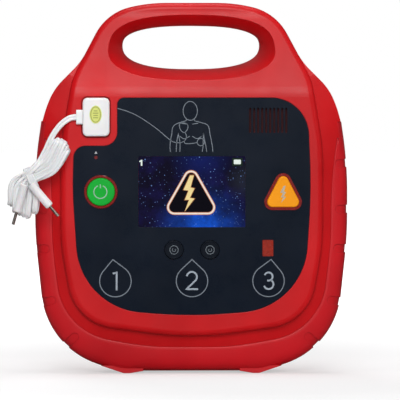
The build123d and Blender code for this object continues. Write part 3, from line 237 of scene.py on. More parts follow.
def board_green(name):
    """Solder mask with paler tracks under it."""
    finish = Finish(name)
    cells = finish.tree.nodes.new("ShaderNodeTexVoronoi")
    cells.distance = "CHEBYCHEV"
    cells.feature = "DISTANCE_TO_EDGE"
    cells.inputs["Scale"].default_value = 260.0
    finish.link(finish.where, cells.inputs["Vector"])
    tracks = finish.remap(cells.outputs["Distance"], 0.04, 0.09, 1.0, 0.0)
    finish.color(finish.mix(tracks, (0.008, 0.09, 0.03), (0.02, 0.2, 0.06)))
    finish.bump(tracks, 0.3, 0.0001)
    finish.set(Roughness=0.35)
    return finish.material


def inked(name, color, glow=0.0):
    """Screen-printed ink, or a lit shape on the display when glow is above 0."""
    finish = Finish(name)
    patchy = finish.remap(finish.noise(900.0, 3.0), 0.3, 0.75, 0.0, 1.0)
    shade = finish.mix(patchy, color, scaled(color, 0.82))
    finish.rough(finish.speckle(1400.0, 0.4, 0.55))
    if glow:
        finish.glow(shade, glow)
        finish.set(Base_Color=(0.001, 0.001, 0.002, 1.0), Specular_IOR_Level=0.03)
    else:
        finish.color(shade)
    return finish.material


# The stars' cells: how densely they lie, and each star's size in its cell.
STARS = [(230.0, 0.065), (400.0, 0.08), (620.0, 0.09)]


def starry_display(name, low_corner, high_corner):
    """The lit screen: deep blue clouds, brighter low down, with scattered stars."""
    finish = Finish(name)
    middle = (low_corner + high_corner) / 2
    height = high_corner.z - low_corner.z

    def spot(x, z, near, far, share, color, under):
        """A soft round patch of a colour over what is under it."""
        fade = finish.remap(finish.distance(Vector((x, middle.y, z))), near, far, share, 0.0)
        return finish.mix(fade, under, color)

    clouds = finish.noise(70.0, 6.0, 0.66)
    base = Vector((middle.x + 0.007, middle.y, low_corner.z - 0.002))
    near_base = finish.remap(finish.distance(base), 0.004, height * 0.78, 1.0, 0.0)
    patches = finish.remap(clouds, 0.3, 0.62, 0.3, 1.3)
    share = finish.product(finish.product(near_base, near_base), patches)
    sky = finish.mix(finish.remap(clouds, 0.45, 0.7, 0.0, 1.0), (0.004, 0.003, 0.012), (0.008, 0.006, 0.05))
    sky = finish.mix(share, sky, (0.006, 0.09, 0.62))
    sky = spot(middle.x + 0.006, high_corner.z, 0.004, 0.022, 0.45, (0.005, 0.018, 0.16), sky)
    sky = spot(high_corner.x, high_corner.z - 0.016, 0.004, 0.014, 0.7, (0.016, 0.02, 0.026), sky)
    for scale, size in STARS:
        cells = finish.tree.nodes.new("ShaderNodeTexVoronoi")
        cells.inputs["Scale"].default_value = scale
        finish.link(finish.where, cells.inputs["Vector"])
        points = finish.remap(cells.outputs["Distance"], size * 0.3, size * 2.2, 1.0, 0.0)
        lucky = finish.tree.nodes.new("ShaderNodeSeparateColor")
        finish.link(cells.outputs["Color"], lucky.inputs[0])
        few = finish.remap(lucky.outputs[0], 0.45, 1.0, 0.0, 0.9)
        sky = finish.mix(finish.product(points, few), sky, (0.25, 0.45, 1.0))
    finish.glow(sky, 1.0)
    finish.rough(finish.speckle(700.0, 0.10, 0.16))
    finish.set(Base_Color=(0.002, 0.002, 0.004, 1.0), Specular_IOR_Level=0.15)
    return finish.material


def lens(name, color, glow):
    """Tinted translucent plastic with a faint glow in its own tint, painted light that stands in for light
    caught in the plastic.
    """
    finish = Finish(name)
    shade = finish.mix(finish.speckle(500.0, 0.0, 1.0), color, scaled(color, 0.7))
    finish.color(shade)
    # Painted glow: the lens gives off its own tint, standing in for light caught inside it.
    finish.glow(shade, glow)
    finish.rough(finish.speckle(900.0, 0.18, 0.28))
    finish.set(Coat_Weight=0.5, Coat_Roughness=0.12)
    return finish.material


def cap(name, color, glow_color, wear_and_highlight):
    """A button's smooth cap, faintly lit from inside."""
    return moulded(name, color, roughness=0.34, grain=1800.0, bump=0.05, edge=0.0004, wear_and_highlight=wear_and_highlight,
                   Specular_IOR_Level=0.12, Emission_Color=(*glow_color, 1.0), Emission_Strength=0.15)


RED = (0.56, 0.004, 0.007)
RIM_RED = (0.57, 0.005, 0.011)
PLUG_WHITE = (0.80, 0.79, 0.80)
CABLE_WHITE = (0.80, 0.80, 0.81)

FINISHES = {
    # The red shell has the strongest paler edges: partly wear, partly painted highlight.
    "red_shell": moulded("red_shell_finish", RED, roughness=0.37, bump=0.10, wear_and_highlight=0.6, wear_and_highlight_lift=0.12,
                         Specular_IOR_Level=0.24),
    "red_rim": moulded("red_rim_finish", RIM_RED, roughness=0.38, bump=0.10, Specular_IOR_Level=0.36),
    "black_rubber": moulded("black_rubber_finish", (0.018, 0.018, 0.019), roughness=0.7, grain=900.0,
                            bump=0.25),
    "steel": metal("steel_finish", (0.56, 0.56, 0.58)),
    "brass": metal("brass_finish", (0.72, 0.52, 0.2)),
    "grey_label": moulded("grey_label_finish", (0.42, 0.43, 0.45), roughness=0.45, grain=2500.0,
                          bump=0.05, edge=0.0002),
    "navy_panel": moulded("navy_panel_finish", (0.0045, 0.0085, 0.0175), roughness=0.3, grain=2600.0,
                          bump=0.04, edge=0.0002, wear_and_highlight=0.1, Specular_IOR_Level=0.12),
    "display_metal": metal("display_metal_finish", (0.6, 0.6, 0.62), 0.35),
    "black_plastic": moulded("black_plastic_finish", (0.014, 0.014, 0.016), roughness=0.5, grain=1300.0,
                             bump=0.2),
    "green_cap": cap("green_cap_finish", (0.007, 0.32, 0.030), (0.0, 0.43, 0.03), 0.3),
    "orange_cap": cap("orange_cap_finish", (0.83, 0.30, 0.007), (0.95, 0.33, 0.012), 0.2),
    "red_lens": lens("red_lens_finish", (0.22, 0.006, 0.004), 0.12),
    "navy_key": moulded("navy_key_finish", (0.0035, 0.0065, 0.013), roughness=0.42, grain=2400.0,
                        bump=0.05, edge=0.0003, wear_and_highlight=0.1, Specular_IOR_Level=0.1),
    "cloth": woven("cloth_finish", (0.16, 0.012, 0.012), (0.012, 0.004, 0.004), 0.0006),
    "paper_cone": moulded("paper_cone_finish", (0.05, 0.045, 0.04), roughness=0.9, grain=700.0, bump=0.4),
    "circuit_board": board_green("circuit_board_finish"),
    "capacitor_can": moulded("capacitor_can_finish", (0.02, 0.05, 0.16), roughness=0.3, grain=1200.0,
                             bump=0.05),
    "ferrite": moulded("ferrite_finish", (0.035, 0.035, 0.037), roughness=0.55, grain=900.0, bump=0.4),
    "copper": metal("copper_finish", (0.78, 0.36, 0.16), 0.3, (1.0, 30.0, 1.0)),
    "heatsink_metal": metal("heatsink_finish", (0.62, 0.63, 0.64), 0.4),
    "cell_sleeve": moulded("cell_sleeve_finish", (0.02, 0.14, 0.3), roughness=0.25, bump=0.04),
    "white_plug": moulded("white_plug_finish", PLUG_WHITE, roughness=0.32, grain=1600.0, bump=0.05,
                          edge=0.0005, wear_and_highlight=0.0, Subsurface_Weight=0.15, Subsurface_Scale=0.002),
    "green_label": moulded("green_label_finish", (0.62, 0.66, 0.16), roughness=0.42, bump=0.05,
                           edge=0.0001, wear_and_highlight=0.0),
    "white_rubber": moulded("white_rubber_finish", CABLE_WHITE, roughness=0.42, grain=1300.0, bump=0.12,
                            edge=0.0002, wear_and_highlight=0.0, Subsurface_Weight=0.1, Subsurface_Scale=0.002),
    "pin_metal": metal("pin_metal_finish", (0.52, 0.44, 0.40), 0.28),
}
FINISHES["display_glass"] = starry_display("display_finish", *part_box("display_window"))

# These two share the slot of the red lenses, and each has a shade of its own.
OWN_FINISHES = {
    "infrared_window": lens("infrared_finish", (0.25, 0.014, 0.005), 0.35),
    "status_lens": lens("status_lens_finish", (0.16, 0.012, 0.014), 0.2),
}

for part in frame["record"]["subparts"]:
    name = part["node"]
    materials = frame["nodes"][name].data.materials
    materials.clear()
    materials.append(OWN_FINISHES.get(name, FINISHES[part["material_slot"]]))


def squeeze(node, index):
    """Give a dome or spring a mesh of its own; the axis with this index is worked out, but nothing is
    flattened along it.
    """
    axis = Vector((0.0, 0.0, 0.0))
    axis[index] = 1.0
    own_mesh(frame["nodes"][node])


for joint in frame["record"]["behaviour"]["joints"]:
    for squeezed in joint.get("deforming_nodes", []):
        for index, letter in enumerate("xyz"):
            fixed_end = squeezed.get(f"fixed_end_{letter}_m")
            if fixed_end is not None:
                squeeze(squeezed["node"], index)


# ---------------------------------------------------------------- mesh helpers
def add_mesh(name, verts, faces, material, body, smooth=False):
    """A mesh of one material, as a piece that rides with a body."""
    data = bpy.data.meshes.new(name)
    data.from_pydata([tuple(v) for v in verts], [], faces)
    data.materials.append(material)
    if smooth:
        data.polygons.foreach_set("use_smooth", [True] * len(data.polygons))
    data.update()
    piece = bpy.data.objects.new(name, data)
    bpy.context.collection.objects.link(piece)
    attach(piece, body)
    return piece


def neighbours(points, i, closed):
    """The points before and after point i; the ends of an open line are their own neighbours."""
    last = len(points) - 1
    before = points[i - 1] if i or closed else points[0]
    after = points[(i + 1) % len(points)] if i < last or closed else points[last]
    return before, after


def smooth_path(points, steps=6, closed=False):
    """A Catmull-Rom curve through the points."""
    points = [Vector(p) for p in points]
    count = len(points)
    path = []
    for i in range(count if closed else count - 1):
        around = [i + k if closed else min(max(i + k, 0), count - 1) for k in (-1, 0, 1, 2)]
        p0, p1, p2, p3 = (points[k % count] for k in around)
        for s in range(steps):
            t = s / steps
            path.append(0.5 * (2 * p1 + (p2 - p0) * t + (2 * p0 - 5 * p1 + 4 * p2 - p3) * t * t
                               + (3 * p1 - p0 - 3 * p2 + p3) * t ** 3))
    if not closed:
        path.append(points[-1])
    return path


def arc(cx, cz, radius, start, end, steps=28):
    """Points on an arc, angles in degrees, anticlockwise when end is above start."""
    points = []
    for i in range(steps + 1):
        turn = math.radians(start + (end - start) * i / steps)
        points.append((cx + radius * math.cos(turn), cz + radius * math.sin(turn)))
    return points


def rounded(corners, radius, steps=8):
    """A closed polygon with its corners rounded."""
    points = []
    count = len(corners)
    for i in range(count):
        here = Vector(corners[i])
        back = (Vector(corners[i - 1]) - here).normalized()
        onward = (Vector(corners[(i + 1) % count]) - here).normalized()
        half = math.acos(max(-1.0, min(1.0, back.dot(onward)))) / 2
        start = here + back * (radius / math.tan(half))
        end = here + onward * (radius / math.tan(half))
        middle = here + (back + onward).normalized() * (radius / math.sin(half))
        first = math.atan2(start.y - middle.y, start.x - middle.x)
        swing = math.atan2(end.y - middle.y, end.x - middle.x) - first
        swing = (swing + math.pi) % math.tau - math.pi
        for s in range(steps + 1):
            turn = first + swing * s / steps
            points.append((middle.x + radius * math.cos(turn), middle.y + radius * math.sin(turn)))
    return points


PRINT_THICK = 0.05           # how far print stands out of its surface
PRINT_SINK = 0.01            # how far it reaches into the surface
MITRE_LIMIT = 0.45           # keeps the outer side of a sharp corner from running away


class Drawing:
    """Flat shapes of one ink on a surface at a depth y in metres, gathered into one mesh.

    The surface faces forwards, or backwards when rear is set. x counts to the right as seen
    by whoever faces it.
    """

    def __init__(self, y, thick=PRINT_THICK, rear=False):
        self.rear = rear
        self.back = (-y if rear else y) / MM + PRINT_SINK
        self.front = self.back - PRINT_SINK - thick
        self.verts = []
        self.faces = []

    def add_ring(self, rows, closed):
        """A strip with four corners in each row."""
        base = len(self.verts)
        for row in rows:
            self.verts += [mm(*corner) for corner in row]
        count = len(rows)
        for i in range(count if closed else count - 1):
            a, b = base + 4 * i, base + 4 * ((i + 1) % count)
            for k in range(4):
                self.faces.append((a + k, a + (k + 1) % 4, b + (k + 1) % 4, b + k))
        if not closed:
            end = base + 4 * (count - 1)
            self.faces += [(base + 3, base + 2, base + 1, base), (end, end + 1, end + 2, end + 3)]

    def stroke(self, points, width, closed=False):
        """A line of even width through (x, z) points."""
        points = [Vector(p) for p in points]
        rows = []
        for i, here in enumerate(points):
            before, after = neighbours(points, i, closed)
            into = (here - before).normalized() if before != here else (after - here).normalized()
            out = (after - here).normalized() if after != here else into
            normal = Vector((-(into + out).y, (into + out).x)).normalized()
            reach = width / 2 / max(MITRE_LIMIT, normal.dot(Vector((-into.y, into.x))))
            left, right = here + normal * reach, here - normal * reach
            rows.append([(left.x, self.front, left.y), (right.x, self.front, right.y),
                         (right.x, self.back, right.y), (left.x, self.back, left.y)])
        self.add_ring(rows, closed)

    def fill(self, points):
        """A filled outline, given anticlockwise."""
        base, count = len(self.verts), len(points)
        self.verts += [mm(x, self.front, z) for x, z in points]
        self.verts += [mm(x, self.back, z) for x, z in points]
        self.faces.append(tuple(base + i for i in range(count)))
        self.faces.append(tuple(base + count + i for i in reversed(range(count))))
        for i in range(count):
            j = (i + 1) % count
            self.faces.append((base + j, base + i, base + count + i, base + count + j))

    def piece(self, name, color, body="housing", slot="grey_label", glow=0.0):
        """Make the mesh, in an ink of this colour, as a piece that rides with the body."""
        if self.rear:
            self.verts = [Vector((-v.x, -v.y, v.z)) for v in self.verts]
        return add_mesh(name, self.verts, self.faces, inked(name + "_ink", color, glow), body)


def ellipse(cx, cz, across, up, steps=44):
    """A closed ellipse with half-widths across and up, anticlockwise."""
    turns = [math.tau * i / steps for i in range(steps)]
    return [(cx + across * math.cos(turn), cz + up * math.sin(turn)) for turn in turns]


def rectangle(cx, cz, half_wide, half_high):
    """Four corners, anticlockwise."""
    left, right, low, high = cx - half_wide, cx + half_wide, cz - half_high, cz + half_high
    return [(left, low), (right, low), (right, high), (left, high)]


def centre(node):
    """A node's (x, z) centre in millimetres and its front depth in metres."""
    lowest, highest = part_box(node)
    middle = (lowest + highest) / (2 * MM)
    return middle.x, middle.z, lowest.y


# ---------------------------------------------------------------- print on the panel
PANEL_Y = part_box("panel_overlay")[0].y           # metres
INK = (0.19, 0.225, 0.27)
NUMERAL_INK = (0.36, 0.42, 0.49)
DROP_X = 50.6                # from the middle drop to each outer one
DROP_Z = 62.0
DROP_RADIUS = 10.4           # of the round part of the outlines about the numerals
DROP_RISE = 14.2             # from the round part's centre to the point
DROP_LEAN = 1.7              # the outer drops' points lean outwards
DROP_WIDTH = 0.62            # of the outline
NUMERAL_FOOT = DROP_Z - 6.1
NUMERAL_WIDTH = 1.15
FIGURE_WIDTH = 0.46          # of the lines of the figure
HEAD = (-1.15, 174.4, 4.7, 6.2)                  # centre and half-widths of an ellipse
LOWER_PAD = (5.8, 153.8, 2.4, 2.4)
FIGURE_LINES = [
    # shoulders and arms
    [(-3.8, 168.9), (-4.1, 167.9), (-7.3, 166.9), (-11.2, 165.3), (-12.9, 162.9), (-13.3, 159.5),
     (-14.2, 154.6), (-14.5, 150.5), (-14.3, 147.4)],
    [(1.5, 168.9), (1.9, 167.9), (5.6, 166.8), (9.6, 165.5), (11.2, 163.3), (11.8, 159.6),
     (12.8, 154.6), (13.5, 150.6), (13.8, 147.4)],
    [(-10.4, 147.4), (-10.2, 153.0), (-9.3, 158.0), (-9.1, 160.0)],
    [(-9.1, 160.0), (-8.6, 157.0), (-7.9, 153.0), (-8.0, 147.4)],
    [(7.6, 160.2), (7.9, 157.0), (8.8, 153.0), (9.8, 147.4)],
    [(7.6, 160.2), (7.4, 156.0), (7.3, 151.5), (6.8, 147.4)],
    # collar bones and chest
    [(-8.2, 166.3), (-5.2, 166.0), (-2.9, 165.6)],
    [(0.3, 165.6), (2.2, 166.0), (4.0, 166.2)],
    [(-8.1, 157.7), (-5.1, 156.0), (-1.5, 157.7)],
    [(0.2, 157.7), (3.4, 156.1), (6.2, 157.5)],
    # the lead, from the plug to the pads
    [(-49.2, 176.1), (-42.0, 173.9), (-34.5, 170.3), (-24.0, 163.2), (-14.7, 155.4), (-11.0, 153.6),
     (-6.9, 153.6), (-4.3, 155.4), (-3.7, 157.8), (-4.5, 160.0)],
    [(-5.0, 155.0), (-4.9, 153.3), (-3.2, 152.8), (0.5, 153.0), (3.3, 153.5)],
]
UPPER_PAD = [(-8.2, 165.6), (-5.6, 166.5), (-3.0, 165.4), (-2.9, 162.6), (-5.2, 160.1), (-7.7, 162.2)]


def drop_outline(x, lean):
    """A circle drawn out to a point above it."""
    tip = Vector((x + lean, DROP_Z + DROP_RISE))
    reach = math.hypot(lean, DROP_RISE)
    tilt = math.degrees(math.atan2(DROP_RISE, lean))
    half = math.degrees(math.acos(DROP_RADIUS / reach))
    return arc(x, DROP_Z, DROP_RADIUS, tilt + half, tilt + 360 - half, 60) + [tuple(tip)]


def print_drops():
    """The outlines about the numerals."""
    drops = Drawing(PANEL_Y)
    for side in (-1, 0, 1):
        drops.stroke(drop_outline(side * DROP_X, side * DROP_LEAN), DROP_WIDTH, closed=True)
    drops.piece("panel_drops", INK)


def print_numerals():
    """The numbers 1, 2 and 3 in the drops."""
    numerals = Drawing(PANEL_Y)
    foot = NUMERAL_FOOT
    one, two, three = -DROP_X + 0.2, -0.1, DROP_X + 0.1
    lines = [
        [(one + 0.6, foot), (one + 0.6, foot + 12.3)],
        [(one + 0.3, foot + 11.6), (one - 1.9, foot + 11.1)],
        arc(two, foot + 8.8, 3.35, 172, -38) + [(two - 3.3, foot + 0.85), (two - 2.6, foot + 0.7),
                                                (two + 4.1, foot + 0.7)],
        arc(three - 0.1, foot + 9.0, 2.7, 160, -88) + [(three - 1.0, foot + 6.35)],
        arc(three, foot + 3.85, 3.15, 62, -162),
    ]
    for line in lines:
        numerals.stroke(line, NUMERAL_WIDTH)
    numerals.piece("panel_numerals", NUMERAL_INK)


def print_figure():
    """A plain faceless figure with two pads and their lead."""
    figure = Drawing(PANEL_Y)
    for line in FIGURE_LINES:
        figure.stroke(smooth_path(line), FIGURE_WIDTH)
    for outline in (ellipse(*HEAD), smooth_path(UPPER_PAD, closed=True), ellipse(*LOWER_PAD)):
        figure.stroke(outline, FIGURE_WIDTH, closed=True)
    figure.piece("panel_figure", INK)


def print_mark():
    """The small arrowhead over the status light."""
    mark = Drawing(PANEL_Y)
    x, z, _ = centre("status_lens")
    mark.fill([(x - 1.0, z + 2.5), (x + 1.0, z + 2.5), (x, z + 4.3)])
    mark.piece("panel_mark", (0.5, 0.52, 0.55))


# ---------------------------------------------------------------- icons on the caps and keys
# The lightning sign as offsets from its middle, clockwise from its top left corner.
BOLT = [(0.6, 12.0), (3.2, 12.0), (0.9, 3.9), (3.6, 3.3), (0.5, -3.1), (3.6, -3.6), (-2.9, -12.1),
        (0.0, -4.4), (-2.9, -4.4), (-0.4, 1.8), (-3.8, 2.3)]
BOLT_SHARE = (0.52, 0.47)    # size of the shock button's sign, as shares of BOLT across and up
SHOCK_ICON_Z = 119.3
POWER_ICON_SHIFT = -0.3
POWER_ICON_RADIUS = 4.3
POWER_ICON_WIDTH = 0.75
KEY_RING_RADIUS = 2.75
KEY_FACE_LIFT = 0.0004       # how far the keys stand out of the panel, metres


def bolt(x, z, scale_x, scale_z):
    """The lightning sign about (x, z), anticlockwise."""
    return [(x + px * scale_x, z + pz * scale_z) for px, pz in reversed(BOLT)]


def print_power_icon():
    """A ring that is open at the top, with an upright line in the gap."""
    x, z, y = centre("power_button")
    x += POWER_ICON_SHIFT
    icon = Drawing(y)
    icon.stroke(arc(x, z, POWER_ICON_RADIUS, 112, 428, 48), POWER_ICON_WIDTH)
    icon.stroke([(x, z + 2.4), (x, z + 5.0)], POWER_ICON_WIDTH)
    icon.piece("power_icon", (0.28, 0.52, 0.36), "power_cap")


def print_shock_icon():
    """The lightning sign on the shock button."""
    x, _, y = centre("shock_button")
    icon = Drawing(y)
    icon.fill(bolt(x, SHOCK_ICON_Z, *BOLT_SHARE))
    icon.piece("shock_icon", (0.52, 0.44, 0.33), "shock_cap")


def print_key_icon(key, body, turn):
    """A ring round a curled arrow; turn is -1 for the mirrored one."""
    x, z, _ = centre(key)
    icon = Drawing(PANEL_Y - KEY_FACE_LIFT)
    icon.stroke(ellipse(x, z, KEY_RING_RADIUS, KEY_RING_RADIUS), 0.42, closed=True)
    icon.stroke([(x + turn * (px - x), pz) for px, pz in arc(x, z, 1.15, 130, 400, 20)], 0.36)
    tip_x = x + turn * 0.9
    icon.fill([(tip_x - 0.6, z + 0.1), (tip_x + 0.6, z + 0.1), (tip_x, z + 1.0)])
    icon.piece(key + "_icon", (0.15, 0.18, 0.21), body)


# ---------------------------------------------------------------- the picture on the screen
SCREEN_X, _, SCREEN_Y = centre("display_window")         # millimetres, and the depth in metres
TRIANGLE = [(SCREEN_X - 18.9, 106.6), (SCREEN_X + 17.7, 106.6), (SCREEN_X - 0.6, 138.8)]
TRIANGLE_CORNER = 4.2
FLASH = (-1.9, 120.0)        # middle of the lightning sign
BATTERY_SIGN = (29.95, 140.7)


def lit(name, lift, color, glow, outline, width=None):
    """A lit shape that stands lift out of the screen: filled, or a closed line with a width."""
    drawing = Drawing(SCREEN_Y, lift)
    if width is None:
        drawing.fill(outline)
    else:
        drawing.stroke(outline, width, closed=True)
    drawing.piece(name, color, glow=glow)


def show_warning():
    """The glowing triangle and the lightning sign in it, each line over its wider halo."""
    triangle = rounded(TRIANGLE, TRIANGLE_CORNER)
    lit("screen_triangle", 0.02, (0.004, 0.003, 0.007), 0.6, triangle)
    lit("screen_halo", 0.04, (0.78, 0.33, 0.20), 0.8, triangle, 1.75)
    lit("screen_outline", 0.06, (1.0, 0.88, 0.76), 0.95, triangle, 0.95)
    lit("screen_flash_halo", 0.04, (0.55, 0.2, 0.08), 0.5, bolt(*FLASH, 1.0, 1.0), 0.7)
    lit("screen_flash", 0.06, (1.0, 0.80, 0.36), 0.92, bolt(*FLASH, 0.97, 0.98))


def show_signs():
    """The scenario number at the left and the battery sign at the right."""
    signs = Drawing(SCREEN_Y, 0.05)
    signs.stroke([(-33.3, 138.2), (-33.3, 142.1)], 1.0)
    signs.stroke([(-33.5, 141.6), (-34.7, 140.9)], 0.8)
    signs.fill(rounded(rectangle(*BATTERY_SIGN, 2.35, 1.5), 0.5, 3))
    signs.piece("screen_signs", (0.9, 1.0, 0.92), glow=0.95)
    lit("screen_sign_ground", 0.03, (0.016, 0.035, 0.02), 0.8, rectangle(*BATTERY_SIGN, 3.4, 2.6))


# ---------------------------------------------------------------- sticker on the plug, plate behind
STICKER_OVAL = (3.15, 5.0)   # half-widths
STICKER_LINES = [(2.4, 1.2), (0.9, 1.8), (-0.6, 1.5), (-2.1, 1.7)]       # height and half-length
TABLE_MARGIN = 2.0           # from the rating plate's edge to the table on it


def print_sticker():
    """An oval with four lines of different length, in place of a maker's sticker."""
    x, z, y = centre("plug_label")
    sticker = Drawing(y)
    sticker.stroke(ellipse(x, z, *STICKER_OVAL), 0.5, closed=True)
    for rise, half in STICKER_LINES:
        sticker.stroke([(x - half, z + rise), (x + half, z + rise)], 0.55)
    sticker.piece("plug_label_print", (0.36, 0.37, 0.06), "lead", "green_label")


def print_rating_table():
    """An empty ruled table on the rating plate behind."""
    lowest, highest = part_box("rating_plate")
    x, z, _ = centre("rating_plate")
    x = -x
    half = (highest - lowest) / (2 * MM)
    wide, high = half.x - TABLE_MARGIN, half.z - TABLE_MARGIN
    table = Drawing(highest.y, rear=True)
    table.stroke(rounded(rectangle(x, z, wide, high), 1.5), 0.5, closed=True)
    for share in (-0.5, 0.0, 0.5):
        table.stroke([(x - wide, z + share * high), (x + wide, z + share * high)], 0.35)
    column = x - 0.3 * wide
    table.stroke([(column, z - high), (column, z + high)], 0.35)
    table.piece("rating_plate_lines", (0.03, 0.03, 0.035))


print_drops()
print_numerals()
print_figure()
print_mark()
print_power_icon()
print_shock_icon()
print_key_icon("left_key", "key_left", 1)
print_key_icon("right_key", "key_right", -1)
show_warning()
show_signs()
print_sticker()
print_rating_table()


# ---------------------------------------------------------------- the lead
CABLE_HALF = 1.0             # radius of each wire of the twin cable
CABLE_STEPS = 7              # points along the cable between two given ones
CABLE_GROOVE = 146.0         # how far round each wire the cable's outline goes, degrees
CABLE_SIDES = 8              # flat sides of each wire's outline


def cable_outline():
    """Cross-section of two wires side by side, as (across, through) points."""
    right = []
    for i in range(CABLE_SIDES + 1):
        turn = math.radians(-CABLE_GROOVE + 2 * CABLE_GROOVE * i / CABLE_SIDES)
        right.append((CABLE_HALF + CABLE_HALF * math.cos(turn), CABLE_HALF * math.sin(turn)))
    return right + [(-across, -through) for across, through in right]


def sweep(path, across, outline, closed=False):
    """Verts and faces of an outline carried along a path; across gives its wide direction at each point."""
    count, sides = len(path), len(outline)
    verts, faces = [], []
    for i, here in enumerate(path):
        before, after = neighbours(path, i, closed)
        along = (after - before).normalized()
        wide = (across[i] - along * across[i].dot(along)).normalized()
        thin = along.cross(wide)
        verts += [(here + wide * u + thin * v) * MM for u, v in outline]
    for i in range(count if closed else count - 1):
        for k in range(sides):
            a, b = i * sides, ((i + 1) % count) * sides
            faces.append((a + k, b + k, b + (k + 1) % sides, a + (k + 1) % sides))
    if not closed:
        faces.append(tuple(range(sides)))
        faces.append(tuple((count - 1) * sides + k for k in reversed(range(sides))))
    return verts, faces


def join(parts):
    """One list of verts and one of faces from several pairs of them."""
    verts, faces = [], []
    for more_verts, more_faces in parts:
        base = len(verts)
        verts += more_verts
        faces += [tuple(base + k for k in face) for face in more_faces]
    return verts, faces


SIDEWAYS = Vector((1.0, 0.0, 0.0))
DEEPER = Vector((0.0, 1.0, 0.0))
NO_LENGTH = 0.001            # below this share of its length a direction counts as straight into depth


def run_of_cable(points, twists, closed=False):
    """A cable through points; each twist turns its wide side from the picture plane to face on edge."""
    path = smooth_path(points, CABLE_STEPS, closed)
    turns = smooth_path([(t, 0.0) for t in twists], CABLE_STEPS, closed)
    across = []
    for i in range(len(path)):
        before, after = neighbours(path, i, closed)
        along = after - before
        flat = Vector((-along.z, 0.0, along.x))
        if flat.length < NO_LENGTH * along.length:
            flat = SIDEWAYS.copy()
        flat.normalize()
        turn = math.radians(turns[i][0])
        across.append(flat * math.cos(turn) + DEEPER * math.sin(turn))
    return sweep(path, across, cable_outline(), closed)


def add_cable(name, parts):
    """A piece of white cable that rides with the lead."""
    verts, faces = join(parts)
    return add_mesh(name, verts, faces, FINISHES["white_rubber"], "lead", smooth=True)


# The free run of the lead from the plug down to the hank: (x, y, z) and the twist there, degrees.
LEAD_RUN = [
    (-76.2, -34.2, 170.4, 0), (-80.6, -34.3, 169.6, 0), (-85.4, -35.2, 166.4, 8),
    (-90.0, -36.8, 161.2, 20), (-93.8, -38.4, 154.6, 22), (-97.0, -41.2, 147.4, 12),
    (-101.0, -43.6, 140.6, 5), (-105.6, -44.6, 135.6, 0), (-110.0, -43.4, 132.2, 0),
    (-112.6, -39.6, 130.6, 0), (-111.0, -35.4, 130.4, 0),
]
# Each loop of the hank: top, upper middle, waist, lower middle and bottom as (x, z).
LOOPS = [
    [(-91.6, 152.6), (-98.9, 142.8), (-107.6, 135.6), (-118.2, 127.6), (-119.4, 115.6)],
    [(-89.6, 153.2), (-96.4, 141.0), (-107.0, 133.8), (-115.6, 124.2), (-116.4, 111.0)],
    [(-87.4, 152.6), (-94.4, 139.2), (-106.4, 132.1), (-113.0, 121.4), (-113.8, 109.6)],
    [(-85.4, 151.4), (-92.6, 137.6), (-105.8, 130.4), (-110.2, 119.0), (-110.8, 108.4)],
    [(-84.4, 149.2), (-92.0, 136.6), (-105.2, 128.8), (-107.2, 117.8), (-108.2, 107.4)],
    [(-83.6, 146.8), (-91.2, 135.0), (-104.4, 127.4), (-103.2, 118.4), (-103.6, 110.2)],
]
# The cable turns on edge at the waist, where the tie squeezes it.
LOOP_TWISTS = [6, 14, 78, 24, 6, 6, 6, 24, 78, 14, 6, 6]
FORWARD_LOOPS = 3            # the lower half of the first loops hangs further forward
FORWARD_LOW_Y, LOW_Y = -45.6, -41.2
HIGH_Y = -43.0
REAR_Y = -37.2
WAIST_FRONT_Y, WAIST_REAR_Y = -41.2, -37.0
BEND = 2.1                   # how far a loop's end bulges past its last point


def past_end(end, before):
    """The point that lies BEND past the end of a loop."""
    return Vector(end) + (Vector(end) - Vector(before)).normalized() * BEND


def hank_loop(k, top, upper, waist, lower, bottom):
    """One closed loop: down in front, round at the bottom and up behind."""
    odd = k % 2
    high_y = HIGH_Y - 0.9 * odd
    low_y = FORWARD_LOW_Y if k < FORWARD_LOOPS else LOW_Y + 0.5 * odd
    rear_y = REAR_Y + 0.8 * odd
    stations = [
        (top, high_y), (upper, high_y), (waist, WAIST_FRONT_Y), (lower, low_y), (bottom, low_y),
        (past_end(bottom, lower), (low_y + rear_y) / 2),
        ((bottom[0] + 0.8, bottom[1] + 0.4), rear_y), ((lower[0] + 0.9, lower[1]), rear_y),
        ((waist[0] + 0.3, waist[1]), WAIST_REAR_Y), ((upper[0] + 0.7, upper[1] + 0.6), rear_y),
        ((top[0] + 0.6, top[1] - 0.3), rear_y),
        (past_end(top, upper), (high_y + rear_y) / 2),
    ]
    points = [(place[0], y, place[1]) for place, y in stations]
    return run_of_cable(points, LOOP_TWISTS, closed=True)


TIE_MIDDLE = Vector((-106.3, -39.4, 129.9))
TIE_ALONG = Vector((-0.9, 0.0, -0.43))           # direction of the hank at its waist
TIE_OVER = Vector((0.43, 0.0, -0.9))             # across the hank, in the picture plane
TIE_WIDE, TIE_DEEP = 7.0, 5.3                    # half-widths of a winding
TIE_POINTS = 16
TIE_SHIFTS = (-0.9, 0.3)                         # where the two windings lie along the hank


def tie_winding(shift):
    """The cable once round the waist of the hank, moved by shift along it."""
    points = []
    for i in range(TIE_POINTS):
        turn = math.tau * i / TIE_POINTS
        points.append(TIE_MIDDLE + TIE_ALONG * shift + TIE_OVER * TIE_WIDE * math.cos(turn)
                      + DEEPER * TIE_DEEP * math.sin(turn))
    path = smooth_path(points, 3, True)
    return sweep(path, [TIE_ALONG] * len(path), cable_outline(), True)


lead_run = run_of_cable([point[:3] for point in LEAD_RUN], [point[3] for point in LEAD_RUN])
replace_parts(add_cable("lead_twin_cable", [lead_run]), "lead_cable")
hank = add_cable("hank_strands", [hank_loop(k, *loop) for k, loop in enumerate(LOOPS)])
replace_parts(hank, "cable_hank")
add_cable("hank_tie", [tie_winding(shift) for shift in TIE_SHIFTS])


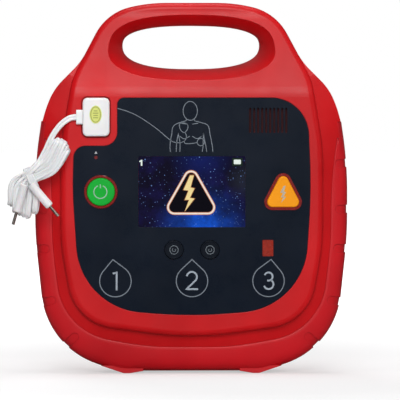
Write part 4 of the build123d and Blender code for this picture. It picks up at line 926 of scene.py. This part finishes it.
# ---------------------------------------------------------------- stage
def area_light(name, place, height, size, power, mirrored=True):
    """A square lamp turned to the object's axis at a height, in metres and watts.

    One that isn't mirrored lights surfaces without showing in their gloss.
    """
    data = bpy.data.lights.new(name, "AREA")
    data.shape = "SQUARE"
    data.size = size
    data.energy = power
    lamp = bpy.data.objects.new(name, data)
    lamp.location = place
    aim = Vector((0.0, 0.0, height)) - Vector(place)
    lamp.rotation_euler = aim.to_track_quat("-Z", "Y").to_euler()
    lamp.visible_glossy = mirrored
    bpy.context.collection.objects.link(lamp)


FLOOR_HALF = 6.0             # half the floor's side, metres
FLOOR_GAP = 0.0002           # from the object's soles down to the floor, metres
AMBIENT = 0.13               # strength of the surroundings' even light


def pale_floor():
    """A white floor that fades into the white surroundings away from the object, and shows dark grey in
    gloss: painted shade that dims its reflection in the object.
    """
    finish = Finish("floor_finish")
    white = finish.mix(finish.noise(90.0, 3.0), (0.50, 0.50, 0.505), (0.54, 0.54, 0.545))
    rays = finish.tree.nodes.new("ShaderNodeLightPath")
    # Painted shade: glossy rays see the floor dark grey, so its reflection in the object is dimmed.
    finish.color(finish.mix(rays.outputs["Is Glossy Ray"], white, (0.06, 0.06, 0.06)))
    finish.set(Roughness=0.6, Specular_IOR_Level=0.0, Emission_Color=(1.0, 1.0, 1.0, 1.0))
    far = finish.remap(finish.distance(Vector((0.0, 0.0, 0.0))), 0.2, 0.9, 0.5, 1.0)
    seen = finish.product(far, rays.outputs["Is Camera Ray"])
    finish.link(seen, finish.surface.inputs["Emission Strength"])
    data = bpy.data.meshes.new("floor")
    corners = [(x, y, 0) for x, y in rectangle(0, 0, FLOOR_HALF, FLOOR_HALF)]
    data.from_pydata(corners, [], [(0, 1, 2, 3)])
    data.materials.append(finish.material)
    floor = bpy.data.objects.new("floor", data)
    floor.location.z = -FLOOR_GAP
    bpy.context.collection.objects.link(floor)


def white_world(strength):
    """White to the camera, and a dimmer even light on everything else."""
    world = bpy.data.worlds.new("studio")
    world.use_nodes = True
    tree = world.node_tree
    seen = tree.nodes["Background"]
    even = tree.nodes.new("ShaderNodeBackground")
    for background in (seen, even):
        background.inputs["Color"].default_value = (1.0, 1.0, 1.0, 1.0)
    even.inputs["Strength"].default_value = strength
    path = tree.nodes.new("ShaderNodeLightPath")
    mix = tree.nodes.new("ShaderNodeMixShader")
    tree.links.new(path.outputs["Is Camera Ray"], mix.inputs[0])
    tree.links.new(even.outputs[0], mix.inputs[1])
    tree.links.new(seen.outputs[0], mix.inputs[2])
    tree.links.new(mix.outputs[0], tree.nodes["World Output"].inputs["Surface"])
    bpy.context.scene.world = world


CAMERA_AZIMUTH = -1.5        # degrees
CAMERA_ELEVATION = 2.0       # degrees
LENS = 400.0
SENSOR = 36.0
CLIP_END = 50.0              # metres
FRAME_WIDTH = 0.2656         # what the picture spans at the target's distance, metres
TARGET = (0.0057, -0.016, 0.1150)                # metres

pale_floor()
white_world(AMBIENT)
area_light("overhead", (0.0, -0.1, 1.2), 0.10, size=0.6, power=5.5)
area_light("front", (-0.12, -2.0, 0.95), 0.12, size=0.9, power=25.0)
area_light("side", (1.6, -0.9, 0.9), 0.12, size=0.9, power=4.0)
area_light("low", (0.5, -2.1, 0.32), 0.05, size=0.7, power=5.5, mirrored=False)
area_light("behind", (-0.6, 1.5, 1.1), 0.12, size=1.0, power=14.0, mirrored=False)

camera_data = bpy.data.cameras.new("camera")
camera_data.lens = LENS
camera_data.sensor_width = SENSOR
camera_data.clip_end = CLIP_END
camera = bpy.data.objects.new("camera", camera_data)
turn, rise = math.radians(CAMERA_AZIMUTH), math.radians(CAMERA_ELEVATION)
away = Vector((math.sin(turn) * math.cos(rise), -math.cos(turn) * math.cos(rise), math.sin(rise)))
camera.location = Vector(TARGET) + away * (FRAME_WIDTH * LENS / SENSOR)
camera.rotation_euler = (-away).to_track_quat("-Z", "Y").to_euler()
bpy.context.collection.objects.link(camera)
bpy.context.scene.camera = camera
bpy.context.scene.view_settings.view_transform = "Standard"
